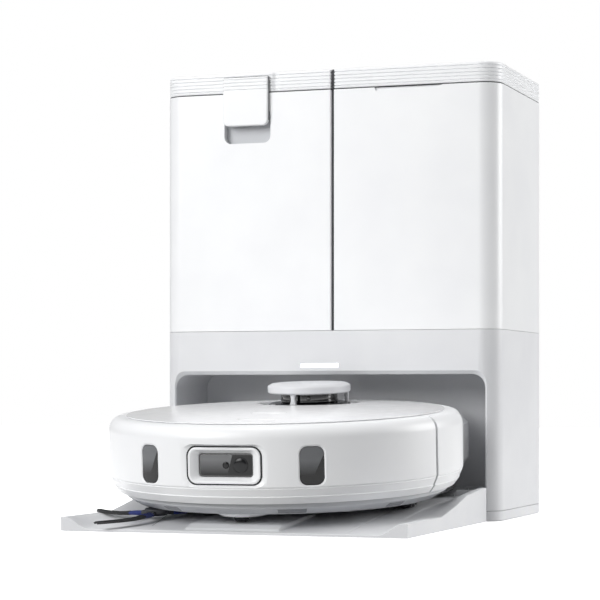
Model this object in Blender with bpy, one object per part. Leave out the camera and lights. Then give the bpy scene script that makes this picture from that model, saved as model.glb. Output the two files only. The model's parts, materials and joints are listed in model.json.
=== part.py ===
"""Robot vacuum parked in its all-in-one station, as separate working pieces.

Metres, +Z up. The origin is on the floor, in the plane of the station's front face, half way across it.
+X is to the right when facing the station and +Y runs back into it. The robot is drawn in a frame of its own,
whose origin is the robot's centre on the ground, with its front towards -Y, and that frame is pitched nose-down.
"""
import math

import bmesh
import bpy
from mathutils import Matrix

# Driving dimensions, in metres.
GAP = 0.0003
WALL = 0.003

STATION_WIDTH = 0.346
STATION_DEPTH = 0.178
STATION_HEIGHT = 0.440
SPLIT_HEIGHT = 0.184
LID_SEAM_HEIGHT = 0.420
DIVIDER_LEFT = 0.0044
DIVIDER_RIGHT = 0.0071
FRONT_RADIUS = 0.020
REAR_RADIUS = 0.012
PLATE_HEIGHT = 0.010

RAMP_REACH = 0.262
RAMP_HALF_WIDTH = 0.161
CURB_WIDTH = 0.011
PAD_HALF_WIDTH = 0.045
TRACK_FRONT_HEIGHT = 0.0025
TRACK_SLOPE = 0.0984
LEVEL_FROM = -0.1126
LEVEL_SLOPE = 0.060
FOOT_RADIUS = 0.0121
FOOT_DEPTH = 0.0027

BAY_LEFT = -0.1605
BAY_RIGHT = 0.159
BAY_TOP = 0.1413
BAY_DEPTH = 0.086
BAY_CORNER_RADIUS = 0.013
BAY_LIP = 0.0035

HINGE_Y = STATION_DEPTH + 0.003
HINGE_Z = LID_SEAM_HEIGHT - GAP / 2
BARREL_RADIUS = 0.0027
POCKET_HALF = 0.055
POCKET_FRONT = 0.055
POCKET_BACK = 0.125
POCKET_DEPTH = 0.0095
HANDLE_Y = 0.118
HANDLE_Z = 0.4355
CLIP_LEFT = -0.1074
CLIP_RIGHT = -0.0600
CLIP_BOTTOM = 0.3874
CLIP_TOP = 0.4355
CLIP_FRONT = -0.0045
RECESS_BOTTOM = 0.3705
RECESS_DEPTH = 0.0085

ROBOT_RADIUS = 0.1635
ROBOT_CENTRE = (0.0, -0.1126, 0.0178)
ROBOT_PITCH = math.radians(4.0)
BUMPER_HALF_ANGLE = 74.0
BUMPER_GAP_ANGLE = 1.2
DECK_RADIUS = 0.1472
TURRET_Y = 0.068
WHEEL_TRACK_HALF = 0.111
WHEEL_RADIUS = 0.035
WHEEL_WIDTH = 0.022
ARM_PIVOT = (0.048, 0.042)
CASTER_SWIVEL_Y = -0.112
CASTER_AXLE_Y = -0.1187
CASTER_RADIUS = 0.011
BRUSH_AXIS = (-0.048, 0.0202)
SIDE_BRUSH_HUB = (-0.092, -0.092)
MOP_CENTRE = (0.064, 0.116)
MODULE_HALF_WIDTH = 0.140
MODULE_BACK = 0.190
WINDOW_ANGLE = 27.6
WINDOW_HALF = 0.0105
WINDOW_LOW = 0.0363
WINDOW_HIGH = 0.0693
BEZEL_HALF = 0.0335
BEZEL_LOW = 0.0376
BEZEL_HIGH = 0.0692
BIN_LOW = (-0.092, -0.0285, 0.0126)
BIN_HIGH = (0.020, 0.0150, 0.0800)
LOWER_DECK = (0.0820, 0.0845)
LOWER_DECK_RADIUS = 0.1485
BUTTONS = (("power_button", 0.007, -0.064), ("home_button", 0.0155, -0.118))
BUTTON_HALF = (0.017, 0.004)

ROUND_STEPS = 5
EPS = 1e-9

# Finishes: sRGB hex, roughness, metallic.
FINISHES = {
    "white_abs": ("F4F5F6", 0.35, 0.0),
    "grey_abs": ("DCDDDF", 0.45, 0.0),
    "pan_grey": ("BFC1C4", 0.50, 0.0),
    "dark_plastic": ("2A2B2E", 0.40, 0.0),
    "dark_glass": ("15161A", 0.08, 0.0),
    "light_diffuser": ("FFFFFF", 0.30, 0.0),
    "black_rubber": ("1B1B1C", 0.70, 0.0),
    "bristle": ("161719", 0.80, 0.0),
    "mop_cloth": ("6E7277", 0.95, 0.0),
    "bag_paper": ("E9E4D8", 0.90, 0.0),
    "contact_metal": ("C9B06A", 0.25, 1.0),
    "board_green": ("1F5B3A", 0.50, 0.0),
}


def linear(hex_colour):
    """Turn an sRGB hex colour into linear RGB."""
    values = [int(hex_colour[i:i + 2], 16) / 255 for i in (0, 2, 4)]
    return [v / 12.92 if v <= 0.04045 else ((v + 0.055) / 1.055) ** 2.4 for v in values]


def finish(name):
    """Return the Principled material of a finish, made on first use."""
    material = bpy.data.materials.get(name)
    if material is None:
        colour, roughness, metallic = FINISHES[name]
        material = bpy.data.materials.new(name)
        material.use_nodes = True
        shader = material.node_tree.nodes["Principled BSDF"]
        shader.inputs["Base Color"].default_value = (*linear(colour), 1)
        shader.inputs["Roughness"].default_value = roughness
        shader.inputs["Metallic"].default_value = metallic
    return material


# Outlines: closed lists of two-value points, anticlockwise.

def arc(centre, radii, start, end, steps):
    """Points on an elliptical arc, both ends included, angles in degrees."""
    angles = [math.radians(start + (end - start) * i / steps) for i in range(steps + 1)]
    return [(centre[0] + radii[0] * math.cos(a), centre[1] + radii[1] * math.sin(a)) for a in angles]


def rounded(low, high, front_radius, rear_radius=None, steps=ROUND_STEPS):
    """A rectangle with rounded corners; the first radius is for the low-second-value corners."""
    rear = front_radius if rear_radius is None else rear_radius
    front = front_radius
    corners = (
        ((low[0] + front, low[1] + front), front, 180),
        ((high[0] - front, low[1] + front), front, 270),
        ((high[0] - rear, high[1] - rear), rear, 0),
        ((low[0] + rear, high[1] - rear), rear, 90),
    )
    points = []
    for centre, radius, start in corners:
        points += arc(centre, (radius, radius), start, start + 90, steps)
    return points


def circle(centre, radius, steps):
    """A full circle without a doubled point."""
    return arc(centre, (radius, radius), 0, 360, steps)[:-1]


# Solids, each a bmesh.

def closed(mesh):
    """Turn every face outwards."""
    bmesh.ops.recalc_face_normals(mesh, faces=mesh.faces)
    return mesh


def stack(levels):
    """A solid through outlines of equal length, each given as (outline, height)."""
    mesh = bmesh.new()
    rings = [[mesh.verts.new((x, y, z)) for x, y in outline] for outline, z in levels]
    for lower, upper in zip(rings, rings[1:]):
        for i in range(len(lower)):
            j = (i + 1) % len(lower)
            mesh.faces.new((lower[i], lower[j], upper[j], upper[i]))
    mesh.faces.new(rings[0])
    mesh.faces.new(rings[-1])
    return closed(mesh)


def prism(outline, low, high):
    """An outline carried straight up from one height to another."""
    return stack([(outline, low), (outline, high)])


def box(low, high):
    """A box between two corners."""
    return prism([(low[0], low[1]), (high[0], low[1]), (high[0], high[1]), (low[0], high[1])], low[2], high[2])


def along_x(outline, low, high):
    """An outline in (y, z) carried along X."""
    mesh = prism(outline, low, high)
    turn = Matrix(((0, 0, 1, 0), (1, 0, 0, 0), (0, 1, 0, 0), (0, 0, 0, 1)))
    bmesh.ops.transform(mesh, matrix=turn, verts=mesh.verts)
    return closed(mesh)


def along_y(outline, low, high):
    """An outline in (x, z) carried along Y."""
    mesh = prism(outline, low, high)
    turn = Matrix(((1, 0, 0, 0), (0, 0, 1, 0), (0, 1, 0, 0), (0, 0, 0, 1)))
    bmesh.ops.transform(mesh, matrix=turn, verts=mesh.verts)
    return closed(mesh)


def turned(profile, steps, centre=(0.0, 0.0), start=None, end=None):
    """A closed (radius, height) profile turned about a vertical axis, all round or from start to end degrees.

    A profile that begins and ends on the axis is closed there by one flat face at each end.
    """
    whole = start is None
    first, last = (0.0, 360.0) if whole else (start, end)
    chain = [point for point in profile if point[0] > EPS]
    solid = len(chain) < len(profile)
    mesh = bmesh.new()
    rings = []
    for i in range(steps if whole else steps + 1):
        angle = math.radians(first + (last - first) * i / steps)
        across, along = math.cos(angle), math.sin(angle)
        rings.append([mesh.verts.new((centre[0] + r * across, centre[1] + r * along, z)) for r, z in chain])
    pairs = zip(rings, rings[1:] + rings[:1]) if whole else zip(rings, rings[1:])
    for here, there in pairs:
        for k in range(len(chain) - 1 if solid else len(chain)):
            n = (k + 1) % len(chain)
            mesh.faces.new((here[k], there[k], there[n], here[n]))
    if solid:
        mesh.faces.new([ring[0] for ring in rings])
        mesh.faces.new([ring[-1] for ring in rings])
    if not whole:
        mesh.faces.new(rings[0])
        mesh.faces.new(rings[-1])
    return closed(mesh)


def round_x(centre, radius, low, high, steps=16):
    """A cylinder along X about (y, z)."""
    return along_x(circle(centre, radius, steps), low, high)


def moved(mesh, x=0.0, y=0.0, z=0.0):
    """Shift a mesh."""
    bmesh.ops.translate(mesh, vec=(x, y, z), verts=mesh.verts)
    return mesh


def add(name, mesh, finish_name, origin=(0.0, 0.0, 0.0), parent=None):
    """Make an object from a mesh given in its frame, with the object's origin at a chosen point of it."""
    bmesh.ops.translate(mesh, vec=[-v for v in origin], verts=mesh.verts)
    data = bpy.data.meshes.new(name)
    mesh.to_mesh(data)
    mesh.free()
    data.materials.append(finish(finish_name))
    data.shade_smooth()
    data.set_sharp_from_angle(angle=math.radians(35))
    item = bpy.data.objects.new(name, data)
    item.location = origin
    item.parent = parent
    bpy.context.collection.objects.link(item)
    return item


def shape(item, mesh, operation):
    """Cut, join or intersect an object with a mesh given in the same frame."""
    data = bpy.data.meshes.new("cutter")
    mesh.to_mesh(data)
    mesh.free()
    cutter = bpy.data.objects.new("cutter", data)
    cutter.parent = item.parent
    cutter.hide_render = True
    cutter.display_type = "WIRE"
    bpy.context.collection.objects.link(cutter)
    modifier = item.modifiers.new(operation.lower(), "BOOLEAN")
    modifier.operation = operation
    modifier.solver = "EXACT"
    modifier.object = cutter


def cut(item, *meshes):
    """Take meshes away from an object."""
    for mesh in meshes:
        shape(item, mesh, "DIFFERENCE")


def join(item, *meshes):
    """Add meshes to an object, so that it stays one body."""
    for mesh in meshes:
        shape(item, mesh, "UNION")


# Station.

def track_height(y):
    """Height of the ramp's wheel tracks, which rise evenly from the front edge."""
    if y <= LEVEL_FROM:
        return TRACK_FRONT_HEIGHT + (y + RAMP_REACH) * TRACK_SLOPE
    return track_height(LEVEL_FROM) + (y - LEVEL_FROM) * LEVEL_SLOPE


def base_plate():
    """Flat plate under the housing, with the ramp, its two curbs and the raised pad for the caster."""
    half = STATION_WIDTH / 2
    plate = prism(rounded((-half, 0), (half, STATION_DEPTH), FRONT_RADIUS, REAR_RADIUS), 0, PLATE_HEIGHT)
    item = add("base_plate", plate, "grey_abs")
    reach = RAMP_REACH
    stop = 0.001
    track = [(-reach, 0), (stop, 0), (stop, track_height(stop)), (LEVEL_FROM, track_height(LEVEL_FROM)),
             (-reach, track_height(-reach))]
    join(item, along_x(track, -RAMP_HALF_WIDTH, RAMP_HALF_WIDTH))
    crest = [(-0.150, 0.0137), (-0.108, 0.0205), (-0.071, 0.0283), (-0.011, 0.0324), (stop, 0.0326)]
    curb = [(-0.158, 0.001), (stop, 0.001)] + crest[::-1]
    inner = RAMP_HALF_WIDTH - CURB_WIDTH
    join(item, along_x(curb, -RAMP_HALF_WIDTH, -inner), along_x(curb, inner, RAMP_HALF_WIDTH))
    pad = [(-0.256, 0.001), (-0.160, 0.001), (-0.160, 0.0130), (-0.170, 0.01335), (-0.2450, 0.0081), (-0.256, 0.0045)]
    join(item, along_x(pad, -PAD_HALF_WIDTH, PAD_HALF_WIDTH))
    for centre in foot_centres():
        cut(item, prism(circle(centre, FOOT_RADIUS + 0.0004, 16), -0.001, FOOT_DEPTH + GAP))


def foot_centres():
    """Where the rubber feet are let into the base plate's underside."""
    return [(x, y) for x in (-0.140, 0.140) for y in (-0.225, 0.150)]


def feet():
    """Rubber discs let into the plate, level with its underside."""
    for number, centre in enumerate(foot_centres(), start=1):
        add(f"foot_{number}", prism(circle(centre, FOOT_RADIUS, 16), 0, FOOT_DEPTH), "black_rubber")


def wash_tray():
    """Basin under the mop pads with raised ribs, stepped up towards the back."""
    left, right, front, back = -0.156, 0.1545, 0.0015, 0.0840
    bottom = PLATE_HEIGHT + GAP
    rim = 0.0300
    item = add("wash_tray", prism(rounded((left, front), (right, back), 0.004, 0.020), bottom, rim), "grey_abs")
    floor = 0.0155
    rim_width = 0.003
    low = (left + rim_width, front + rim_width)
    high = (right - rim_width, back - rim_width)
    cut(item, prism(rounded(low, high, 0.004, 0.017), floor, rim + WALL))
    cut(item, box((-0.130, front - 0.002, 0.0240), (0.130, front + 0.004, rim + WALL)))
    rib_depth = 0.003
    rib_pitch = 0.0085
    for i in range(7):
        y = 0.012 + i * rib_pitch
        top = 0.0252 + 0.065 * y
        join(item, box((-0.126, y, floor - 0.001), (0.126, y + rib_depth, top)))


def bay_outline(grow, bottom):
    """The bay seen from the front, grown outwards by an amount."""
    left, right, top = BAY_LEFT - grow, BAY_RIGHT + grow, BAY_TOP + grow
    radius = BAY_CORNER_RADIUS
    points = [(left, bottom), (right, bottom)]
    points += arc((right - radius, top - radius), (radius, radius), 0, 90, ROUND_STEPS)
    points += arc((left + radius, top - radius), (radius, radius), 90, 180, ROUND_STEPS)
    return points


def housing():
    """Lower housing: robot bay in front, service space behind and above, deck for the tanks on top."""
    half = STATION_WIDTH / 2
    bottom = PLATE_HEIGHT + GAP
    block = prism(rounded((-half, 0), (half, STATION_DEPTH), FRONT_RADIUS, REAR_RADIUS), bottom, SPLIT_HEIGHT)
    item = add("housing", block, "grey_abs")
    cut(item, along_y(bay_outline(0, 0.0), -0.01, BAY_DEPTH))
    lip = stack([(bay_outline(2 * BAY_LIP, -0.001), 0), (bay_outline(0, 0.0), 2 * BAY_LIP)])
    turn = Matrix(((1, 0, 0, 0), (0, 0, 1, -BAY_LIP), (0, 1, 0, 0), (0, 0, 0, 1)))
    bmesh.ops.transform(lip, matrix=turn, verts=lip.verts)
    cut(item, closed(lip))
    ceiling = SPLIT_HEIGHT - WALL
    space = box((-0.150, BAY_DEPTH + WALL, 0.016), (0.150, STATION_DEPTH + 0.01, ceiling))
    cut(item, space)
    cut(item, box((-0.150, 0.006, 0.153), (0.150, BAY_DEPTH + 0.01, ceiling)))
    cut(item, box((-0.0276, -0.001, 0.1477), (0.0120, 0.003, 0.1523)))
    cut(item, box((-0.0305, BAY_DEPTH - 0.01, 0.0495), (0.0305, BAY_DEPTH + 0.01, 0.0805)))
    for side in (-1, 1):
        x = side * 0.060
        cut(item, box((x - 0.0103, BAY_DEPTH - 0.001, 0.0587), (x + 0.0103, BAY_DEPTH + 0.0015, 0.0693)))


def light_bar():
    """Diffuser of the status light, let into the fascia."""
    add("light_bar", box((-0.0273, 0.0002, 0.148), (0.0117, 0.0027, 0.152)), "light_diffuser")


def bay_fittings():
    """Dust port and the two charge contacts on the bay's back wall."""
    port = along_y(rounded((-0.030, 0.050), (0.030, 0.080), 0.006), 0.0825, 0.0948)
    item = add("dust_port", port, "black_rubber")
    cut(item, along_y(rounded((-0.024, 0.056), (0.024, 0.074), 0.003), 0.08, 0.10))
    for side, name in ((-1, "charge_contact_left"), (1, "charge_contact_right")):
        x = side * 0.060
        plate = along_y(rounded((x - 0.010, 0.059), (x + 0.010, 0.069), 0.0015, steps=3), 0.0845, 0.0872)
        add(name, plate, "contact_metal")


def rear_fittings():
    """Rear panel with its door opening, hinged dust door and power inlet."""
    front, back = STATION_DEPTH - WALL, STATION_DEPTH
    panel = along_y(rounded((-0.1497, 0.0163), (0.1497, 0.1807), 0.0001, steps=1), front, back)
    item = add("rear_panel", panel, "grey_abs")
    door_low, door_high = (-0.075, 0.024), (0.075, 0.140)
    cut(item, along_y(rounded(door_low, door_high, 0.006), front - 0.01, back + 0.01))
    cut(item, box((0.1027, front - 0.01, 0.0277), (0.1323, back + 0.01, 0.0503)))
    low = (door_low[0] + 0.0005, door_low[1] + 0.0005)
    high = (door_high[0] - 0.0005, door_high[1] - 0.0005)
    door = add("dust_door", along_y(rounded(low, high, 0.0055), front + 0.0002, back), "grey_abs",
               origin=(low[0], back, 0.082))
    cut(door, along_y(rounded((0.052, 0.068), (0.066, 0.096), 0.004), back - 0.0015, back + 0.01))
    inlet = add("power_inlet", box((0.103, 0.150, 0.028), (0.132, back + 0.0005, 0.050)), "dark_plastic")
    cut(inlet, along_y(rounded((0.1065, 0.0315), (0.1285, 0.0465), 0.003), 0.158, back + 0.01))


def service_parts():
    """Dust bag, suction fan and water pump in the space behind the bay."""
    bag = stack([
        (rounded((-0.052, 0.106), (0.052, 0.158), 0.020), 0.0175),
        (rounded((-0.068, 0.099), (0.068, 0.170), 0.022), 0.045),
        (rounded((-0.068, 0.099), (0.068, 0.170), 0.022), 0.110),
        (rounded((-0.040, 0.112), (0.040, 0.152), 0.016), 0.135),
    ])
    add("dust_bag", bag, "bag_paper")
    fan = [(0, 0.0163), (0.028, 0.0163), (0.028, 0.060), (0.034, 0.064), (0.034, 0.092), (0.014, 0.098),
           (0.014, 0.115), (0, 0.115)]
    add("suction_fan", turned(fan, 20, centre=(-0.112, 0.135)), "dark_plastic")
    pump = box((0.082, 0.100, 0.060), (0.138, 0.140, 0.098))
    item = add("water_pump", pump, "dark_plastic")
    join(item, box((0.095, 0.108, 0.0163), (0.125, 0.132, 0.061)))
    join(item, prism(circle((0.110, 0.120), 0.006, 16), 0.097, 0.150))


def tank(name, left, right, divider_side):
    """Open-topped water tank standing on the housing; the side next to the other tank is plain."""
    bottom = SPLIT_HEIGHT + GAP
    top = LID_SEAM_HEIGHT - GAP
    outline = tank_outline(left, right, divider_side, 0)
    item = add(name, prism(outline, bottom, top), "white_abs")
    cut(item, prism(tank_outline(left, right, divider_side, WALL), bottom + WALL, top + 0.01))
    return item


def tank_outline(left, right, divider_side, inset):
    """Plan of a tank or lid: large corners on the station's outside, small ones at the divider."""
    front, back = inset, STATION_DEPTH - inset
    left, right = left + inset, right - inset
    small = 0.0015
    outer_front, outer_back = FRONT_RADIUS - inset, REAR_RADIUS - inset
    if divider_side == "right":
        radii = (outer_front, small, small, outer_back)
    else:
        radii = (small, outer_front, outer_back, small)
    places = ((left, front), (right, front), (right, back), (left, back))
    signs = ((1, 1), (-1, 1), (-1, -1), (1, -1))
    points = []
    for (x, y), (sx, sy), radius, start in zip(places, signs, radii, (180, 270, 0, 90)):
        points += arc((x + sx * radius, y + sy * radius), (radius, radius), start, start + 90, ROUND_STEPS)
    return points


def hinge_barrel(low, high, web_low, web_high):
    """One knuckle of a lid hinge on the rear wall, with the web that carries it."""
    barrel = round_x((HINGE_Y, HINGE_Z), BARREL_RADIUS, low, high, 16)
    web = box((low, STATION_DEPTH - 0.002, web_low), (high, HINGE_Y, web_high))
    return barrel, web


def lid(name, left, right, divider_side):
    """Hollow lid with a pocket for the carry handle and the middle knuckle of its hinge."""
    bottom, top = LID_SEAM_HEIGHT, STATION_HEIGHT
    middle = (left + right) / 2
    body = prism(tank_outline(left, right, divider_side, 0), bottom, top)
    item = add(name, body, "white_abs", origin=(middle, HINGE_Y, HINGE_Z))
    underside = prism(tank_outline(left, right, divider_side, 0.004), bottom - 0.01, bottom + 0.007)
    pocket_low = (middle - POCKET_HALF, POCKET_FRONT)
    pocket_high = (middle + POCKET_HALF, POCKET_BACK)
    cut(item, underside, prism(rounded(pocket_low, pocket_high, 0.008), top - POCKET_DEPTH, top + 0.01))
    barrel, web = hinge_barrel(middle - 0.020, middle + 0.020, bottom + 0.0002, bottom + 0.006)
    join(item, web, barrel)


def tank_knuckles(item, middle):
    """The two outer knuckles of a lid hinge, on the tank."""
    for side in (-1, 1):
        inner, outer = sorted((middle + side * 0.0203, middle + side * 0.034))
        barrel, web = hinge_barrel(inner, outer, LID_SEAM_HEIGHT - 0.008, LID_SEAM_HEIGHT - 0.0006)
        join(item, web, barrel)


def carry_handle(name, middle):
    """U-shaped bail that folds flat into the lid's pocket and turns about its two ends."""
    reach = 0.050
    thickness = 0.007
    width = 0.008
    front = 0.060
    outer = rounded((middle - reach, front), (middle + reach, HANDLE_Y + 0.003), 0.010, 0.002)
    inner = rounded((middle - reach + width, front + width), (middle + reach - width, HANDLE_Y + 0.010), 0.004, 0.001)
    low = HANDLE_Z - thickness / 2
    item = add(name, prism(outer, low, low + thickness), "white_abs", origin=(middle, HANDLE_Y, HANDLE_Z))
    cut(item, prism(inner, low - 0.01, low + 0.02))


def tanks():
    """Both tanks with their lids, hinges, handles, clip and finger grips."""
    half = STATION_WIDTH / 2
    sides = (("dirty", -half, DIVIDER_LEFT, "right"), ("clean", DIVIDER_RIGHT, half, "left"))
    made = {}
    for prefix, left, right, divider_side in sides:
        middle = (left + right) / 2
        made[prefix] = tank(f"{prefix}_tank", left, right, divider_side)
        tank_knuckles(made[prefix], middle)
        lid(f"{prefix}_lid", left, right, divider_side)
        carry_handle(f"{prefix}_handle", middle)
    low = (CLIP_LEFT - 0.004, 0.001, RECESS_BOTTOM - 0.004)
    backing = box(low, (CLIP_RIGHT + 0.005, RECESS_DEPTH + WALL, 0.4197))
    join(made["dirty"], backing)
    hollow = along_y(rounded((CLIP_LEFT, RECESS_BOTTOM), (CLIP_RIGHT + 0.0013, 0.405), 0.007), -0.01, RECESS_DEPTH)
    cut(made["dirty"], hollow)
    slot = along_y([(0.0503, 0.4163), (0.1158, 0.4163), (0.1190, 0.4250), (0.0470, 0.4250)], -0.01, 0.0022)
    cut(made["clean"], slot)


def lid_clip():
    """Clip that hangs from the left lid's front edge and closes over the tank."""
    outline = rounded((CLIP_LEFT, CLIP_BOTTOM), (CLIP_RIGHT, CLIP_TOP), 0.006, 0.001)
    pivot = ((CLIP_LEFT + CLIP_RIGHT) / 2, -GAP, CLIP_TOP)
    add("lid_clip", along_y(outline, CLIP_FRONT, -GAP), "white_abs", origin=pivot)


# Robot.

def shell_profile():
    """Section through the robot's side wall: chamfered foot, upright wall, rounded shoulder and top flange."""
    shoulder_centre = (0.150, 0.072)
    outer = [(0.155, 0.0197), (0.160, 0.0262), (ROBOT_RADIUS, 0.0336)]
    outer += arc(shoulder_centre, (0.0135, 0.0158), 0, 90, 4)
    inner = arc(shoulder_centre, (0.0105, 0.0136), 90, 0, 3)
    return outer + [(0.143, 0.0878), (0.143, 0.0856)] + inner + [(0.1605, 0.0344), (0.1573, 0.0276), (0.1525, 0.0197)]


def front_angles(half_angle):
    """Start and end of a sector centred on the robot's front, in degrees from +X."""
    return 270 - half_angle, 270 + half_angle


def at_front(outline_mesh, angle):
    """Turn a mesh drawn at the robot's front round its axis."""
    turn = Matrix.Rotation(math.radians(angle), 4, "Z")
    bmesh.ops.transform(outline_mesh, matrix=turn, verts=outline_mesh.verts)
    return outline_mesh


def bumper(frame):
    """Sliding bumper with its openings for the camera and the two side windows."""
    start, end = front_angles(BUMPER_HALF_ANGLE)
    item = add("bumper", turned(shell_profile(), 30, start=start, end=end), "white_abs", parent=frame)
    opening = rounded((-BEZEL_HALF - GAP, BEZEL_LOW - GAP), (BEZEL_HALF + GAP, BEZEL_HIGH + GAP), 0.0083)
    cut(item, along_y(opening, -0.17, -0.14))
    for side in (-1, 1):
        low, high = (-WINDOW_HALF - GAP, WINDOW_LOW - GAP), (WINDOW_HALF + GAP, WINDOW_HIGH + GAP)
        cut(item, at_front(along_y(rounded(low, high, 0.0068), -0.17, -0.14), side * WINDOW_ANGLE))


def bumper_fittings(frame):
    """Camera bezel, glass, lenses and side windows, all carried by the bumper."""
    bezel = along_y(rounded((-BEZEL_HALF, BEZEL_LOW), (BEZEL_HALF, BEZEL_HIGH), 0.008), -0.1600, -0.1500)
    item = add("camera_bezel", bezel, "white_abs", parent=frame)
    wide = rounded((-0.0290, 0.0405), (0.0290, 0.0665), 0.006)
    narrow = rounded((-0.0250, 0.0431), (0.0250, 0.0634), 0.0033)
    funnel = stack([(wide, -0.1602), (narrow, -0.1530)])
    turn = Matrix(((1, 0, 0, 0), (0, 0, 1, 0), (0, 1, 0, 0), (0, 0, 0, 1)))
    bmesh.ops.transform(funnel, matrix=turn, verts=funnel.verts)
    cut(item, closed(funnel), along_y(narrow, -0.1531, -0.1400))
    glass = rounded((-0.0247, 0.0434), (0.0247, 0.0631), 0.003)
    add("camera_glass", along_y(glass, -0.1530, -0.1515), "dark_glass", parent=frame)
    for name, x, radius in (("camera_lens", 0.0135, 0.0070), ("camera_lamp", 0.0, 0.0035)):
        add(name, along_y(circle((x, 0.0532), radius, 24), -0.1512, -0.1465), "dark_glass", parent=frame)
    for side, name in ((-1, "window_left"), (1, "window_right")):
        panel = turned([(0.1606, WINDOW_LOW), (0.1632, WINDOW_LOW), (0.1632, WINDOW_HIGH), (0.1606, WINDOW_HIGH)],
                       8, start=270 + side * WINDOW_ANGLE - 3.6, end=270 + side * WINDOW_ANGLE + 3.6)
        item = add(name, panel, "dark_glass", parent=frame)
        outline = rounded((-WINDOW_HALF, WINDOW_LOW - 0.0001), (WINDOW_HALF, WINDOW_HIGH + 0.0001), 0.0065)
        shape(item, at_front(along_y(outline, -0.17, -0.15), side * WINDOW_ANGLE), "INTERSECT")


def upper_body(frame):
    """Fixed rear wall of the robot, joined to the inner deck that carries the turret."""
    start, end = front_angles(180 - BUMPER_HALF_ANGLE - BUMPER_GAP_ANGLE)
    item = add("upper_body", turned(shell_profile(), 40, start=start + 180, end=end + 180), "white_abs", parent=frame)
    low, high = LOWER_DECK
    ledge = [(0.140, low), (0.158, low), (0.158, high), (0.140, high)]
    join(item, turned(ledge, 40, start=start + 181, end=end + 179))
    join(item, prism(circle((0, 0), LOWER_DECK_RADIUS, 48), low - 0.0002, high + 0.0002))
    opening = box((BIN_LOW[0] - 0.002, BIN_LOW[1] - 0.002, low - 0.01), (BIN_HIGH[0] + 0.002, 0.0165, high + 0.01))
    cut(item, opening)


def chassis_pan(frame):
    """Underside pan with openings for the wheels, brush, caster, side brush and the mop bay."""
    profile = [(0, 0.009), (0.138, 0.009), (0.1485, 0.0155), (0.1485, 0.024), (0.1455, 0.024), (0.1455, 0.017),
               (0.1365, 0.012), (0, 0.012)]
    item = add("chassis_pan", turned(profile, 60), "pan_grey", parent=frame)
    cut(item, box((-0.126, 0.052, 0), (0.126, 0.200, 0.05)))
    for side in (-1, 1):
        inner, outer = sorted((side * 0.0935, side * 0.1265))
        cut(item, box((inner, -0.042, 0), (outer, 0.0515, 0.014)))
    cut(item, box((-0.082, -0.072, 0), (0.082, -0.030, 0.014)))
    cut(item, prism(circle((0, CASTER_SWIVEL_Y), 0.0198, 32), 0, 0.014))
    cut(item, prism(circle(SIDE_BRUSH_HUB, 0.0033, 16), 0, 0.014))


def drive_wheels(frame):
    """Two sprung arms, each with its axle, wheel hub and tyre."""
    for side, word in ((-1, "left"), (1, "right")):
        middle = side * WHEEL_TRACK_HALF
        low, high = middle - WHEEL_WIDTH / 2, middle + WHEEL_WIDTH / 2
        axle = (0.0, WHEEL_RADIUS)
        tyre = round_x(axle, WHEEL_RADIUS, low, high, 28)
        item = add(f"tyre_{word}", tyre, "black_rubber", origin=(middle, *axle), parent=frame)
        cut(item, round_x(axle, 0.0253, low - 0.01, high + 0.01, 24))
        hub = add(f"wheel_hub_{word}", round_x(axle, 0.0247, low + 0.001, high - 0.001, 24), "grey_abs",
                  origin=(middle, *axle), parent=frame)
        cut(hub, round_x(axle, 0.0044, low - 0.01, high + 0.01, 12))
        near, far = sorted((side * 0.0945, side * 0.0985))
        arm = round_x(axle, 0.010, near, far)
        item = add(f"wheel_arm_{word}", arm, "dark_plastic", origin=(side * 0.0965, *ARM_PIVOT), parent=frame)
        bar = [(0.0, 0.027), (0.048, 0.036), (0.048, 0.048), (0.0, 0.043)]
        join(item, along_x(bar, near + 0.0001, far - 0.0001), round_x(ARM_PIVOT, 0.009, near - 0.0001, far + 0.0001))
        pin_low, pin_high = sorted((side * 0.0980, side * 0.1205))
        join(item, round_x(axle, 0.0040, pin_low, pin_high, 12))


def caster(frame):
    """Swivelling fork with its small wheel, which trails behind the swivel axis."""
    fork = turned([(0, 0.0060), (0.012, 0.0060), (0.0188, 0.0105), (0.0188, 0.0250), (0, 0.0250)], 28,
                  centre=(0, CASTER_SWIVEL_Y))
    item = add("caster_fork", fork, "grey_abs", origin=(0, CASTER_SWIVEL_Y, 0.012), parent=frame)
    axle = (CASTER_AXLE_Y, CASTER_RADIUS)
    slot_back = 0.0125
    slot = box((-0.0066, axle[0] - 0.02, 0), (0.0066, axle[0] + slot_back, 0.0230))
    cut(item, slot, round_x(axle, 0.0015, -0.0100, 0.0100, 12))
    wheel = round_x(axle, CASTER_RADIUS, -0.0058, 0.0058, 28)
    wheel_item = add("caster_wheel", wheel, "black_rubber", origin=(0, *axle), parent=frame)
    join(wheel_item, round_x(axle, 0.0012, -0.0095, 0.0095, 12))


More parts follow.
